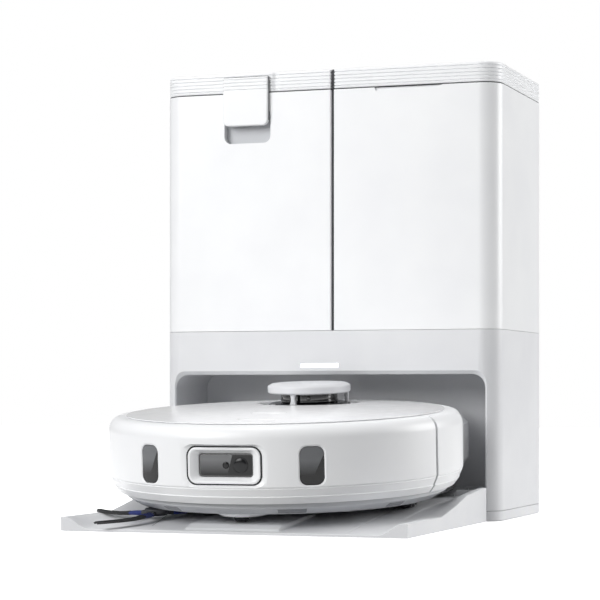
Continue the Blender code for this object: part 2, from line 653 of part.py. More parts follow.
def brushes(frame):
    """Main brush roller with its frame, and the three-armed side brush."""
    roller = round_x(BRUSH_AXIS, 0.0120, -0.078, 0.078, 24)
    item = add("main_brush", roller, "black_rubber", origin=(0, *BRUSH_AXIS), parent=frame)
    blade_reach = 0.0168
    for i in range(6):
        blade = box((-0.075, -0.0010, 0.010), (0.075, 0.0010, blade_reach))
        turn = Matrix.Rotation(math.radians(60 * i), 3, "X")
        bmesh.ops.rotate(blade, cent=(0, 0, 0), matrix=turn, verts=blade.verts)
        join(item, moved(blade, 0, *BRUSH_AXIS))
    guard = prism(rounded((-0.088, -0.078), (0.088, -0.0265), 0.006), 0.0055, 0.0087)
    item = add("brush_guard", guard, "pan_grey", parent=frame)
    cut(item, prism(rounded((-0.0795, -0.0660), (0.0795, -0.0300), 0.002), 0, 0.02))
    hub = turned([(0, 0.0010), (0.012, 0.0010), (0.012, 0.0070), (0.006, 0.0086), (0.003, 0.0087), (0.003, 0.016),
                  (0, 0.016)], 24, centre=SIDE_BRUSH_HUB)
    item = add("side_brush", hub, "bristle", origin=(*SIDE_BRUSH_HUB, 0.0010), parent=frame)
    for angle in (147, 267, 27):
        arm = box((0.008, -0.0035, 0.0006), (0.070, 0.0035, 0.0030))
        bmesh.ops.rotate(arm, cent=(0, 0, 0), matrix=Matrix.Rotation(math.radians(angle), 3, "Z"), verts=arm.verts)
        join(item, moved(arm, *SIDE_BRUSH_HUB))


def turret(frame):
    """Distance sensor: dished base on the inner deck, turning drum and cap on three posts."""
    centre = (0, TURRET_Y)
    base = [(0, 0.0850), (0.0487, 0.0850), (0.0487, 0.0886), (0.0440, 0.0880), (0.0370, 0.0895), (0.0364, 0.0920),
            (0, 0.0920)]
    add("turret_base", turned(base, 40, centre=centre), "dark_plastic", parent=frame)
    drum = [(0, 0.0924), (0.0276, 0.0924), (0.0276, 0.1010), (0, 0.1010)]
    add("turret_drum", turned(drum, 32, centre=centre), "dark_glass", origin=(*centre, 0.0924), parent=frame)
    cap = [(0, 0.1014), (0.0386, 0.1014), (0.0396, 0.1025), (0.0396, 0.1090), (0.0376, 0.1106), (0, 0.1112)]
    item = add("turret_cap", turned(cap, 40, centre=centre), "white_abs", parent=frame)
    for angle in (-100, 20, 140):
        x = centre[0] + 0.0330 * math.cos(math.radians(angle))
        y = centre[1] + 0.0330 * math.sin(math.radians(angle))
        join(item, prism(circle((x, y), 0.0025, 8), 0.0923, 0.1030))


def top_cover(frame):
    """Slightly domed deck that lifts off, with the turret's opening and two button openings."""
    def dome(radius, lift):
        edge, crown = 0.0890, 0.0925
        return crown - (crown - edge) * (radius / DECK_RADIUS) ** 2 + lift

    rim = DECK_RADIUS
    radii = (0.0, 0.08, 0.12, rim - 0.0012)
    under = [(0, 0.0888), (rim - 0.004, 0.0881), (rim, 0.0881)]
    profile = under + [(rim, 0.0886)] + [(r, dome(r, 0)) for r in radii[::-1]]
    item = add("top_cover", turned(profile, 72), "white_abs", parent=frame)
    cut(item, prism(circle((0, TURRET_Y), 0.0492, 40), 0.08, 0.10))
    half_x, half_y = BUTTON_HALF
    for name, x, y in BUTTONS:
        low, high = (x - half_x - GAP, y - half_y - GAP), (x + half_x + GAP, y + half_y + GAP)
        cut(item, prism(rounded(low, high, 0.0042), 0.08, 0.10))
        top = dome(math.hypot(x, y), 0.0002)
        button = prism(rounded((x - half_x, y - half_y), (x + half_x, y + half_y), 0.0039), 0.0862, top)
        add(name, button, "white_abs", origin=(x, y, 0.0862), parent=frame)


def inner_parts(frame):
    """Dust bin, battery, main board and vacuum fan."""
    item = add("dust_bin", box(BIN_LOW, BIN_HIGH), "dark_glass", parent=frame)
    low = (BIN_LOW[0] + 0.002, BIN_LOW[1] - 0.01, BIN_LOW[2] + 0.002)
    cut(item, box(low, (BIN_HIGH[0] - 0.002, BIN_HIGH[1] - 0.002, BIN_HIGH[2] - 0.002)))
    add("battery", box((0.028, -0.0285, 0.0126), (0.092, 0.048, 0.0400)), "dark_plastic", parent=frame)
    item = add("main_board", box((0.028, -0.0285, 0.0500), (0.092, 0.048, 0.0518)), "board_green", parent=frame)
    for x in (0.032, 0.088):
        for y in (-0.024, 0.044):
            join(item, box((x - 0.002, y - 0.002, 0.0403), (x + 0.002, y + 0.002, 0.0510)))
    fan = [(0, 0.0126), (0.020, 0.0126), (0.020, 0.038), (0.012, 0.043), (0.012, 0.056), (0, 0.056)]
    add("vacuum_fan", turned(fan, 20, centre=(0.065, -0.095)), "dark_plastic", parent=frame)


def mop_parts(frame):
    """Rear module, with the lifting carrier and its two turning mop plates and pads."""
    low, high = (-MODULE_HALF_WIDTH, 0.040), (MODULE_HALF_WIDTH, MODULE_BACK)

    def module_outline(inset):
        return rounded((low[0] + inset, low[1] + inset), (high[0] - inset, high[1] - inset), 0.02, 0.070 - inset, 6)

    levels = ((0.010, 0.022), (0.0, 0.034), (0.0, 0.068), (0.012, 0.081))
    item = add("mop_module", stack([(module_outline(i), z) for i, z in levels]), "grey_abs", parent=frame)
    inner = ((0.013, 0.019), (0.013, 0.022), (0.003, 0.035), (0.003, 0.067), (0.013, 0.078))
    cut(item, stack([(module_outline(i), z) for i, z in inner]))
    cut(item, prism(circle((0, 0), ROBOT_RADIUS + 0.0008, 72), 0, 0.1))
    edge = 0.143
    side, front = 0.118, 0.056
    start = math.degrees(math.acos(side / edge))
    outline = [(-side, front), (side, front)] + arc((0, 0), (edge, edge), start, 180 - start, 24)
    carrier = add("mop_carrier", prism(outline, 0.0130, 0.0210), "dark_plastic", parent=frame)
    for sign, word in ((-1, "left"), (1, "right")):
        centre = (sign * MOP_CENTRE[0], MOP_CENTRE[1])
        cut(carrier, prism(circle(centre, 0.0053, 20), 0, 0.03))
        plate = [(0, 0.0073), (0.058, 0.0073), (0.058, 0.0110), (0.005, 0.0110), (0.005, 0.0200), (0, 0.0200)]
        add(f"mop_plate_{word}", turned(plate, 32, centre=centre), "dark_plastic", origin=(*centre, 0.0073),
            parent=frame)
        pad = [(0, 0.0010), (0.060, 0.0010), (0.062, 0.0030), (0.062, 0.0060), (0.060, 0.0070), (0, 0.0070)]
        add(f"mop_pad_{word}", turned(pad, 32, centre=centre), "mop_cloth", origin=(*centre, 0.0010), parent=frame)


def build():
    """Clear the scene and model every piece."""
    for item in list(bpy.data.objects):
        bpy.data.objects.remove(item, do_unlink=True)
    base_plate()
    feet()
    wash_tray()
    housing()
    light_bar()
    bay_fittings()
    rear_fittings()
    service_parts()
    tanks()
    lid_clip()
    frame = bpy.data.objects.new("robot_frame", None)
    frame.location = ROBOT_CENTRE
    frame.rotation_euler = (ROBOT_PITCH, 0, 0)
    bpy.context.collection.objects.link(frame)
    chassis_pan(frame)
    upper_body(frame)
    mop_parts(frame)
    bumper(frame)
    bumper_fittings(frame)
    drive_wheels(frame)
    caster(frame)
    brushes(frame)
    turret(frame)
    top_cover(frame)
    inner_parts(frame)


build()
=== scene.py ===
"""The looks of a robot vacuum parked in its station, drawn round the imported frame.

Metres, +Z up, the station's front face in the plane y = 0. The robot's pieces are drawn level, about the
robot's own centre on the ground with its front towards -Y, and are then turned into their parked place.
"""

import json
import math

import bmesh
import bpy
import mathutils
import numpy as np
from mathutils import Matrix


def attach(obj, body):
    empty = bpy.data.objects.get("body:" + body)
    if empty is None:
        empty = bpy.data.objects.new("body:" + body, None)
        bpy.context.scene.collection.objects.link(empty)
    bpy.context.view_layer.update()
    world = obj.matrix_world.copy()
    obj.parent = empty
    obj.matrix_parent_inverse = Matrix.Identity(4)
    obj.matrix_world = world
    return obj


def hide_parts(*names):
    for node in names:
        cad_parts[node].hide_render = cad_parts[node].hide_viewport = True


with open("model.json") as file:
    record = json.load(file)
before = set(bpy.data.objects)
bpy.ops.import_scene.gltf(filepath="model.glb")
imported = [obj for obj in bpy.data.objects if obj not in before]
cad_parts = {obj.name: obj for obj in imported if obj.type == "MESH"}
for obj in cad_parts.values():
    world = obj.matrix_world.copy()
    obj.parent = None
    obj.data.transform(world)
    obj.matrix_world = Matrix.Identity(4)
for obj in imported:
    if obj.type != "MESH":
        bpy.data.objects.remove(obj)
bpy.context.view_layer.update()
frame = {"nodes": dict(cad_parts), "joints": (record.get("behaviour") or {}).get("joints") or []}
JOINTS = {joint["name"]: joint for joint in frame["joints"]}

# The robot's parked frame, from the axis that its distance sensor turns about.
TURRET_BACK = 0.068
TURRET_MARK = 0.096
UP = np.array(JOINTS["turret_spin"]["axis"], float)
UP /= np.linalg.norm(UP)
BACK = np.array([0.0, UP[2], -UP[1]])
ROBOT_AXES = np.array([[1.0, 0.0, 0.0], BACK, UP])
ROBOT_ORIGIN = np.array(JOINTS["turret_spin"]["pos_m"], float) - TURRET_BACK * BACK - TURRET_MARK * UP


def corners(node, robot=False):
    """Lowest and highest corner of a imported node, in the frame or in the robot's level frame."""
    data = frame["nodes"][node].data
    points = np.empty(len(data.vertices) * 3)
    data.vertices.foreach_get("co", points)
    points = points.reshape(-1, 3)
    if robot:
        points = (points - ROBOT_ORIGIN) @ ROBOT_AXES.T
    return points.min(0), points.max(0)


def to_station(points):
    """Level robot coordinates turned into the frame: origin + x * right + y * back + z * up."""
    return ROBOT_ORIGIN + np.asarray(points, float) @ ROBOT_AXES


# Curves and surfaces, as numpy arrays.

POLE = 0.0003


def smoothstep(low, high, value):
    """Rises from 0 at low to 1 at high as 3t^2 - 2t^3."""
    t = np.clip((value - low) / (high - low), 0.0, 1.0)
    return t * t * (3.0 - 2.0 * t)


def rounded_path(points, steps=4, closed=False):
    """A polyline of (a, b, radius) corners, each corner replaced by the circle arc tangent to both its sides.

    The arc is the rational Bezier curve of the two tangent points and the corner, whose middle weight is the
    sine of half the corner's angle.
    """
    points = np.asarray(points, float)
    count = len(points)
    made = []
    for i, (a, b, radius) in enumerate(points):
        here = np.array([a, b])
        inner = closed or 0 < i < count - 1
        if radius <= 0 or not inner:
            made.append(here[None])
            continue
        before = points[i - 1, :2] - here
        after = points[(i + 1) % count, :2] - here
        u, v = before / np.linalg.norm(before), after / np.linalg.norm(after)
        half = 0.5 * math.acos(np.clip(u @ v, -1.0, 1.0))
        reach = min(radius / math.tan(half), 0.49 * np.linalg.norm(before), 0.49 * np.linalg.norm(after))
        s = np.linspace(0.0, 1.0, steps + 1)[:, None]
        weights = (1 - s) ** 2, 2 * math.sin(half) * s * (1 - s), s ** 2
        arc = weights[0] * (here + u * reach) + weights[1] * here + weights[2] * (here + v * reach)
        made.append(arc / sum(weights))
    return np.concatenate(made)


def plan(low, high, radii, inset=0.0, straight=(1, 1, 1, 1), steps=6):
    """Outline of a rectangle with four corner radii, drawn in by an inset, anticlockwise from front left.

    Each corner is cut in equal angles and each side in equal lengths, so outlines of different inset have
    the same number of points and can be joined.
    """
    signs = ((1, 1), (-1, 1), (-1, -1), (1, -1))
    places = ((low[0], low[1]), (high[0], low[1]), (high[0], high[1]), (low[0], high[1]))
    arcs = []
    for (x, y), (across, along), radius, start in zip(places, signs, radii, (180, 270, 0, 90)):
        reach = max(radius, inset)
        angles = np.radians(start + np.linspace(0, 90, steps + 1))
        arc = np.stack([np.cos(angles), np.sin(angles)], -1) * (reach - inset)
        arcs.append(arc + [x + across * reach, y + along * reach])
    made = []
    for i, pieces in enumerate(straight):
        start, end = arcs[i][-1], arcs[(i + 1) % 4][0]
        shares = np.linspace(0, 1, pieces + 1)[1:-1, None]
        made += [arcs[i], start + (end - start) * shares]
    return np.concatenate(made)


def level(outline, z):
    """An (x, y) outline at one height."""
    return np.column_stack([outline, np.full(len(outline), z)])


def upright(outline, y):
    """An (x, z) outline at one depth y."""
    return np.column_stack([outline[:, 0], np.full(len(outline), y), outline[:, 1]])


def circle(radius, steps, centre=(0.0, 0.0)):
    """A circle in equal angles."""
    angles = np.linspace(0, 2 * np.pi, steps, endpoint=False)
    return np.stack([centre[0] + radius * np.cos(angles), centre[1] + radius * np.sin(angles)], -1)


def quads(rows, columns, around=False, along=False):
    """Faces of a grid of points, closed around its columns or along its rows if asked."""
    r = np.arange(rows if along else rows - 1)[:, None]
    c = np.arange(columns if around else columns - 1)[None, :]
    r2, c2 = (r + 1) % rows, (c + 1) % columns
    faces = np.stack([r * columns + c, r * columns + c2, r2 * columns + c2, r2 * columns + c], -1)
    return faces.reshape(-1, 4).tolist()


def loft(rings, along=False):
    """A closed skin through rings of equal length; the first and last ring are capped, or joined if along."""
    rings = np.asarray(rings, float)
    rows, columns = rings.shape[:2]
    faces = quads(rows, columns, around=True, along=along)
    if not along:
        faces += [list(range(columns))[::-1], list(range((rows - 1) * columns, rows * columns))]
    return rings.reshape(-1, 3), faces


def slab(front, back):
    """A closed plate between two grids of the same size."""
    rows, columns = front.shape[:2]
    size = rows * columns
    faces = quads(rows, columns)
    faces += [[size + i for i in face[::-1]] for face in quads(rows, columns)]
    grid = np.arange(size).reshape(rows, columns)
    edge = np.concatenate([grid[0, :-1], grid[:-1, -1], grid[-1, :0:-1], grid[:0:-1, 0]])
    nxt = np.roll(edge, -1)
    faces += np.stack([nxt, edge, edge + size, nxt + size], -1).tolist()
    return np.concatenate([front.reshape(-1, 3), back.reshape(-1, 3)]), faces


def turned(profile, steps=96, centre=(0.0, 0.0)):
    """A (radius, height) profile turned about a vertical axis; its ends are closed by small flat faces."""
    points = np.asarray(profile, float)[:, :2]
    return loft([level(circle(max(radius, POLE), steps, centre), z) for radius, z in points])


def sector(profile, start, end, steps):
    """A closed (radius, height) profile turned from start to end, in degrees from +X, and capped there."""
    profile = np.asarray(profile, float)
    angles = np.radians(np.linspace(start, end, steps + 1))[:, None]
    radius, z = profile[None, :, 0], profile[None, :, 1] + 0 * angles
    return loft(np.stack([radius * np.cos(angles), radius * np.sin(angles), z], -1))


def sweep(path, section):
    """A closed (a, b) section carried along a path: a points sideways and b upwards, square to the path."""
    path = np.asarray(path, float)
    ahead = np.gradient(path, axis=0)
    ahead /= np.linalg.norm(ahead, axis=1, keepdims=True)
    side = np.cross(ahead, [0.0, 0.0, 1.0])
    side /= np.linalg.norm(side, axis=1, keepdims=True)
    top = np.cross(side, ahead)
    section = np.asarray(section, float)
    rings = path[:, None] + section[None, :, :1] * side[:, None] + section[None, :, 1:] * top[:, None]
    return loft(rings)


def tile(low, high, radii, front, back, edge, relief=None, columns=60, rows=48):
    """A plate in (x, z) between two depths y, with rounded corners and a front edge rounded to a radius.

    Each row runs the plate's width at its height, which the corner circles narrow. The front falls back by
    edge - sqrt(edge^2 - (edge - d)^2) at a distance d from the outline, and relief(x, z) is added to it.
    """
    lower, upper = radii
    height = high[1] - low[1]
    z = low[1] + height * (0.5 - 0.5 * np.cos(np.linspace(0, np.pi, rows)))[:, None]
    from_bottom, from_top = z - low[1], high[1] - z
    cut_low = lower - np.sqrt(np.clip(lower ** 2 - np.clip(lower - from_bottom, 0, None) ** 2, 0, None))
    cut_high = upper - np.sqrt(np.clip(upper ** 2 - np.clip(upper - from_top, 0, None) ** 2, 0, None))
    half = (high[0] - low[0]) / 2 - np.maximum(cut_low, cut_high)
    middle = (low[0] + high[0]) / 2
    across = np.sin(np.linspace(-np.pi / 2, np.pi / 2, columns))[None, :]
    x = middle + half * across
    z = z + 0 * x
    distance = np.minimum(half * (1 - np.abs(across)), np.minimum(from_bottom, from_top) + 0 * x)
    fall = edge - np.sqrt(np.clip(edge ** 2 - np.clip(edge - distance, 0, edge) ** 2, 0, None))
    y = front + np.sign(back - front) * fall
    if relief is not None:
        y = y + relief(x, z)
    return slab(np.stack([x, y, z], -1), np.stack([x, back + 0 * x, z], -1))


def shifted(shape, x=0.0, y=0.0, z=0.0):
    """A shape moved."""
    return shape[0] + [x, y, z], shape[1]


def about_z(shape, degrees):
    """A shape turned about the vertical axis."""
    a = math.radians(degrees)
    turn = np.array([[math.cos(a), math.sin(a), 0], [-math.sin(a), math.cos(a), 0], [0, 0, 1]])
    return shape[0] @ turn, shape[1]


def along_x(shape, centre):
    """A shape drawn round the vertical axis laid along X through (y, z): (x, y, z) becomes (z, x, y)."""
    points = shape[0]
    return np.stack([points[:, 2], centre[0] + points[:, 0], centre[1] + points[:, 1]], -1), shape[1]


def facing_front(shape, x, z):
    """A shape drawn round the vertical axis with its axis laid towards the front, through (x, z)."""
    points = shape[0]
    return np.stack([x + points[:, 0], -points[:, 2], z + points[:, 1]], -1), shape[1]


# Pieces.

def make(name, shapes, robot=False):
    """One mesh object of several closed shapes, with every face turned outwards."""
    points, faces, start = [], [], 0
    for shape_points, shape_faces in shapes:
        points.append(shape_points)
        faces += [[start + i for i in face] for face in shape_faces]
        start += len(shape_points)
    points = np.concatenate(points)
    if robot:
        points = to_station(points)
    data = bpy.data.meshes.new(name)
    data.from_pydata(points, [], faces)
    mesh = bmesh.new()
    mesh.from_mesh(data)
    bmesh.ops.recalc_face_normals(mesh, faces=mesh.faces)
    mesh.to_mesh(data)
    mesh.free()
    item = bpy.data.objects.new(name, data)
    bpy.context.scene.collection.objects.link(item)
    return item


def carve(item, shapes, robot=False, operation="DIFFERENCE"):
    """Take closed shapes away from a piece, or join them to it, and keep the result as its mesh."""
    cutter = make("cutter", shapes, robot)
    modifier = item.modifiers.new("carve", "BOOLEAN")
    modifier.operation = operation
    modifier.solver = "MANIFOLD"
    modifier.object = cutter
    graph = bpy.context.evaluated_depsgraph_get()
    item.data = bpy.data.meshes.new_from_object(item.evaluated_get(graph))
    item.modifiers.clear()
    bpy.data.objects.remove(cutter)
    return item


def soften(item, width, segments=3, angle=32):
    """Round the sharp edges to a moulding radius and even out the shading of the flats beside them."""
    if width:
        bevel = item.modifiers.new("edges", "BEVEL")
        bevel.width = width
        bevel.segments = segments
        bevel.limit_method = "ANGLE"
        bevel.angle_limit = math.radians(angle)
    normals = item.modifiers.new("normals", "WEIGHTED_NORMAL")
    normals.keep_sharp = True


def finish(item, material, body, replaced=(), edge=0.0, sharp=35):
    """Give a piece its material and body, and hide the nodes it stands for."""
    item.data.materials.clear()
    item.data.materials.append(material)
    item.data.shade_smooth()
    item.data.set_sharp_from_angle(angle=math.radians(sharp))
    if edge:
        soften(item, edge)
    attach(item, body)
    if replaced:
        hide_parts(*replaced)
    return item


def dress(node, material, edge=0.0004):
    """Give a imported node, whose shape is right, its material and moulded edges."""
    item = frame["nodes"][node]
    item.data.materials.clear()
    item.data.materials.append(material)
    weld = item.modifiers.new("weld", "WELD")
    weld.merge_threshold = 0.00001
    flats = item.modifiers.new("flats", "DECIMATE")
    flats.decimate_type = "DISSOLVE"
    flats.angle_limit = math.radians(0.5)
    item.data.shade_smooth()
    soften(item, edge, segments=2)
    return item


# Materials. Each starts from the real stuff and how its surface was made.

def linear(colour):
    """An sRGB hex colour as linear red, green, blue and alpha."""
    values = np.array([int(colour[i:i + 2], 16) for i in (0, 2, 4)]) / 255
    values = np.where(values <= 0.04045, values / 12.92, ((values + 0.055) / 1.055) ** 2.4)
    return (*values.tolist(), 1.0)


def add_node(tree, kind, links=None, values=None, **settings):
    """One shader node with its settings, its socket values and the links into it."""
    made = tree.nodes.new(kind)
    for name, value in settings.items():
        setattr(made, name, value)
    for socket, value in (values or {}).items():
        made.inputs[socket].default_value = value
    for socket, source in (links or {}).items():
        tree.links.new(source, made.inputs[socket])
    return made


def blank(name, **sockets):
    """A material with a Principled shader, its even values set on the shader's own sockets."""
    material = bpy.data.materials.new(name)
    material.use_nodes = True
    tree = material.node_tree
    shader = tree.nodes["Principled BSDF"]
    for socket, value in sockets.items():
        shader.inputs[socket.replace("_", " ")].default_value = value
    place = add_node(tree, "ShaderNodeTexCoord").outputs["Object"]
    return material, tree, shader, place


def per_metre(size_mm):
    """Texture scale that repeats a pattern every so many millimetres."""
    return 1000.0 / size_mm


def between(tree, factor, low, high):
    """A colour that runs between two hex colours with a factor."""
    ramp = add_node(tree, "ShaderNodeValToRGB", links={"Fac": factor})
    ramp.color_ramp.elements[0].position = 0.3
    ramp.color_ramp.elements[1].position = 0.7
    ramp.color_ramp.elements[0].color = linear(low)
    ramp.color_ramp.elements[1].color = linear(high)
    return ramp.outputs["Color"]


def spread(tree, factor, low, high):
    """A number that runs between two values with a factor."""
    made = add_node(tree, "ShaderNodeMapRange", links={"Value": factor},
                    values={"To Min": low, "To Max": high})
    return made.outputs["Result"]


def moulded(name, dark, light, roughness, grain_mm, grain_depth_mm, coat=0.0, **sockets):
    """Injection moulded plastic: an even tone that drifts over wide patches, and a fine eroded grain."""
    material, tree, shader, place = blank(name, IOR=1.53, Coat_Weight=coat, Coat_Roughness=0.12, **sockets)
    drift = add_node(tree, "ShaderNodeTexNoise", {"Vector": place}, {"Scale": per_metre(70), "Detail": 2.0})
    tree.links.new(between(tree, drift.outputs["Fac"], dark, light), shader.inputs["Base Color"])
    patch = add_node(tree, "ShaderNodeTexNoise", {"Vector": place}, {"Scale": per_metre(9), "Detail": 4.0})
    tree.links.new(spread(tree, patch.outputs["Fac"], roughness - 0.05, roughness + 0.05),
                   shader.inputs["Roughness"])
    grain = add_node(tree, "ShaderNodeTexNoise", {"Vector": place},
                     {"Scale": per_metre(grain_mm), "Detail": 3.0, "Roughness": 0.6})
    bump = add_node(tree, "ShaderNodeBump", {"Height": grain.outputs["Fac"]},
                    {"Strength": 0.5, "Distance": grain_depth_mm / 1000})
    tree.links.new(bump.outputs["Normal"], shader.inputs["Normal"])
    return material


def white_satin():
    """White ABS moulded in a satin tool: bright, with wide highlights. Grain 0.8 mm, twice life size."""
    return moulded("white_abs_satin_moulded", "F3F4F6", "F8F9FA", 0.36, 0.8, 0.012)


def white_gloss():
    """White ABS from a polished tool, as on the deck: clearer highlights and a trace of flow marks."""
    return moulded("white_abs_polished", "F5F6F8", "FBFBFC", 0.24, 1.6, 0.006, coat=0.15)


def grey_texture():
    """Light grey ABS moulded in an eroded tool: matt, with a grain that shows close up."""
    return moulded("light_grey_abs_eroded", "DCDDE0", "E3E4E6", 0.48, 0.7, 0.03)


def grey_underside():
    """Mid grey ABS of the pieces under the robot: plain tooling, a little scuffed."""
    return moulded("mid_grey_abs_plain", "C2C4C8", "D0D2D5", 0.50, 1.2, 0.03)


def dark_textured():
    """Near-black glass-filled nylon for arms, plates and motors: matt with a coarse grain."""
    return moulded("black_nylon_glass_filled", "222327", "303237", 0.52, 0.9, 0.04)


def dark_gloss():
    """Black polished acrylic of the distance sensor's drum: mirror-like under soft light."""
    return moulded("black_acrylic_polished", "0A0A0C", "111215", 0.10, 4.0, 0.001, coat=0.6)


def grey_satin():
    """Light grey ABS of the sensor's cap, moulded in a satin tool: soft highlights on its rolled rim."""
    return moulded("light_grey_abs_satin", "D3D4D7", "DADBDE", 0.34, 0.8, 0.012)


def lens_black():
    """Black acrylic of the camera's lens and lamp: coated against glare, so it shines less than the drum."""
    return moulded("black_acrylic_lens", "08080A", "0E0F12", 0.20, 4.0, 0.001, Specular_IOR_Level=0.25)


def smoked_window():
    """Smoked polycarbonate over the cliff sensors: grey, smooth and a little hazy."""
    return moulded("smoked_polycarbonate", "85878B", "8F9195", 0.22, 3.0, 0.002)


def rubber():
    """Black moulded rubber: bloomed patches, dull highlights and a fine pitted skin."""
    material, tree, shader, place = blank("black_rubber_moulded", IOR=1.5, Specular_IOR_Level=0.35)
    bloom = add_node(tree, "ShaderNodeTexNoise", {"Vector": place}, {"Scale": per_metre(14), "Detail": 5.0})
    tree.links.new(between(tree, bloom.outputs["Fac"], "17181A", "26272A"), shader.inputs["Base Color"])
    tree.links.new(spread(tree, bloom.outputs["Fac"], 0.62, 0.8), shader.inputs["Roughness"])
    pits = add_node(tree, "ShaderNodeTexVoronoi", {"Vector": place}, {"Scale": per_metre(0.9)})
    bump = add_node(tree, "ShaderNodeBump", {"Height": pits.outputs["Distance"]},
                    {"Strength": 0.4, "Distance": 0.00005})
    tree.links.new(bump.outputs["Normal"], shader.inputs["Normal"])
    return material


def glass_with_painted_reflection(name, dark, light, through, lean):
    """Tinted acrylic over a sensor: smoky, with a painted reflection that makes it paler towards the top, up
    to a slanting line.

    The line runs through a point (x, z) and moves right by lean for each metre up.
    """
    material, tree, shader, place = blank(name, IOR=1.49, Specular_IOR_Level=0.3)
    split = add_node(tree, "ShaderNodeSeparateXYZ", {"Vector": place})
    slant = add_node(tree, "ShaderNodeMath", {0: split.outputs["Z"], 2: split.outputs["X"]}, {1: -lean},
                     operation="MULTIPLY_ADD")
    crossing = through[0] - lean * through[1]
    edge = add_node(tree, "ShaderNodeMapRange", {"Value": slant.outputs["Value"]},
                    {"From Min": crossing - 0.00015, "From Max": crossing + 0.00015})
    reflection_fade = add_node(tree, "ShaderNodeMapRange", {"Value": split.outputs["Z"]},
                    {"From Min": through[1] - 0.018, "From Max": through[1] + 0.014})
    haze = add_node(tree, "ShaderNodeTexNoise", {"Vector": place}, {"Scale": per_metre(25), "Detail": 3.0})
    # painted reflection: the light colour, paler towards the top and left of the slanting line; the dark tint
    # lies beyond the line
    painted_reflection = between(tree, reflection_fade.outputs["Result"], dark, light)
    mixed = add_node(tree, "ShaderNodeMix", data_type="RGBA")
    tree.links.new(edge.outputs["Result"], mixed.inputs[0])
    tree.links.new(painted_reflection, mixed.inputs[6])
    mixed.inputs[7].default_value = linear(dark)
    tree.links.new(mixed.outputs[2], shader.inputs["Base Color"])
    tree.links.new(spread(tree, haze.outputs["Fac"], 0.06, 0.12), shader.inputs["Roughness"])
    return material


def nylon_bristle(name, dark, light):
    """Extruded nylon filament: a soft sheen along each bristle and small differences from one to the next."""
    material, tree, shader, place = blank(name, IOR=1.53, Sheen_Weight=0.2, Sheen_Roughness=0.4)
    strand = add_node(tree, "ShaderNodeTexNoise", {"Vector": place}, {"Scale": per_metre(1.5), "Detail": 2.0})
    tree.links.new(between(tree, strand.outputs["Fac"], dark, light), shader.inputs["Base Color"])
    tree.links.new(spread(tree, strand.outputs["Fac"], 0.4, 0.65), shader.inputs["Roughness"])
    return material


def microfibre():
    """Grey microfibre loop pile, loops 2 mm apart: matt, fuzzy at the edges, with flattened patches, and
    painted shade between the loops.
    """
    material, tree, shader, place = blank("grey_microfibre_loop_pile", IOR=1.45, Sheen_Weight=0.6,
                                          Sheen_Roughness=0.5)
    patch = add_node(tree, "ShaderNodeTexNoise", {"Vector": place}, {"Scale": per_metre(18), "Detail": 3.0})
    loops = add_node(tree, "ShaderNodeTexVoronoi", {"Vector": place}, {"Scale": per_metre(2.0)})
    # painted shade: the colour darkens in random patches and into the hollows between the loops
    links = {0: patch.outputs["Fac"], 1: loops.outputs["Distance"], 2: patch.outputs["Fac"]}
    painted_loop_shade = add_node(tree, "ShaderNodeMath", links, operation="MULTIPLY_ADD")
    tree.links.new(between(tree, painted_loop_shade.outputs["Value"], "7E838A", "565A60"), shader.inputs["Base Color"])
    tree.links.new(spread(tree, patch.outputs["Fac"], 0.85, 0.98), shader.inputs["Roughness"])
    bump = add_node(tree, "ShaderNodeBump", {"Height": loops.outputs["Distance"]},
                    {"Strength": 0.9, "Distance": 0.0008})
    bump.invert = True
    tree.links.new(bump.outputs["Normal"], shader.inputs["Normal"])
    return material


def bag_paper():
    """Non-woven filter paper: random fibres pressed together, cream white, quite matt."""
    material, tree, shader, place = blank("cream_nonwoven_filter_paper", IOR=1.45, Sheen_Weight=0.2)
    squashed = add_node(tree, "ShaderNodeMapping", {"Vector": place}, {"Scale": (1.0, 1.0, 0.35)})
    fibre = add_node(tree, "ShaderNodeTexNoise", {"Vector": squashed.outputs["Vector"]},
                     {"Scale": per_metre(2.0), "Detail": 8.0, "Roughness": 0.7, "Distortion": 0.8})
    tree.links.new(between(tree, fibre.outputs["Fac"], "DED8C9", "F0ECE1"), shader.inputs["Base Color"])
    tree.links.new(spread(tree, fibre.outputs["Fac"], 0.85, 0.97), shader.inputs["Roughness"])
    bump = add_node(tree, "ShaderNodeBump", {"Height": fibre.outputs["Fac"]},
                    {"Strength": 0.7, "Distance": 0.0003})
    tree.links.new(bump.outputs["Normal"], shader.inputs["Normal"])
    return material


def plated_strip():
    """Gold-flashed spring strip: rolled lines along its length and finger-dulled patches."""
    material, tree, shader, place = blank("gold_flashed_spring_strip", Metallic=1.0)
    drawn = add_node(tree, "ShaderNodeMapping", {"Vector": place}, {"Scale": (0.05, 1.0, 1.0)})
    lines = add_node(tree, "ShaderNodeTexNoise", {"Vector": drawn.outputs["Vector"]},
                     {"Scale": per_metre(0.6), "Detail": 3.0})
    tree.links.new(between(tree, lines.outputs["Fac"], "C2A866", "D8C07C"), shader.inputs["Base Color"])
    tree.links.new(spread(tree, lines.outputs["Fac"], 0.18, 0.34), shader.inputs["Roughness"])
    return material


def board_mask():
    """Green solder mask over copper tracks: tracks 2.5 mm apart show as paler lines under the gloss."""
    material, tree, shader, place = blank("green_solder_mask", IOR=1.55, Coat_Weight=0.4)
    tracks = add_node(tree, "ShaderNodeTexBrick", {"Vector": place},
                      {"Scale": per_metre(5), "Color1": linear("1C5A38"), "Color2": linear("17502F"),
                       "Mortar": linear("2F7A50"), "Mortar Size": 0.03})
    tree.links.new(tracks.outputs["Color"], shader.inputs["Base Color"])
    haze = add_node(tree, "ShaderNodeTexNoise", {"Vector": place}, {"Scale": per_metre(6), "Detail": 2.0})
    tree.links.new(spread(tree, haze.outputs["Fac"], 0.3, 0.45), shader.inputs["Roughness"])
    return material


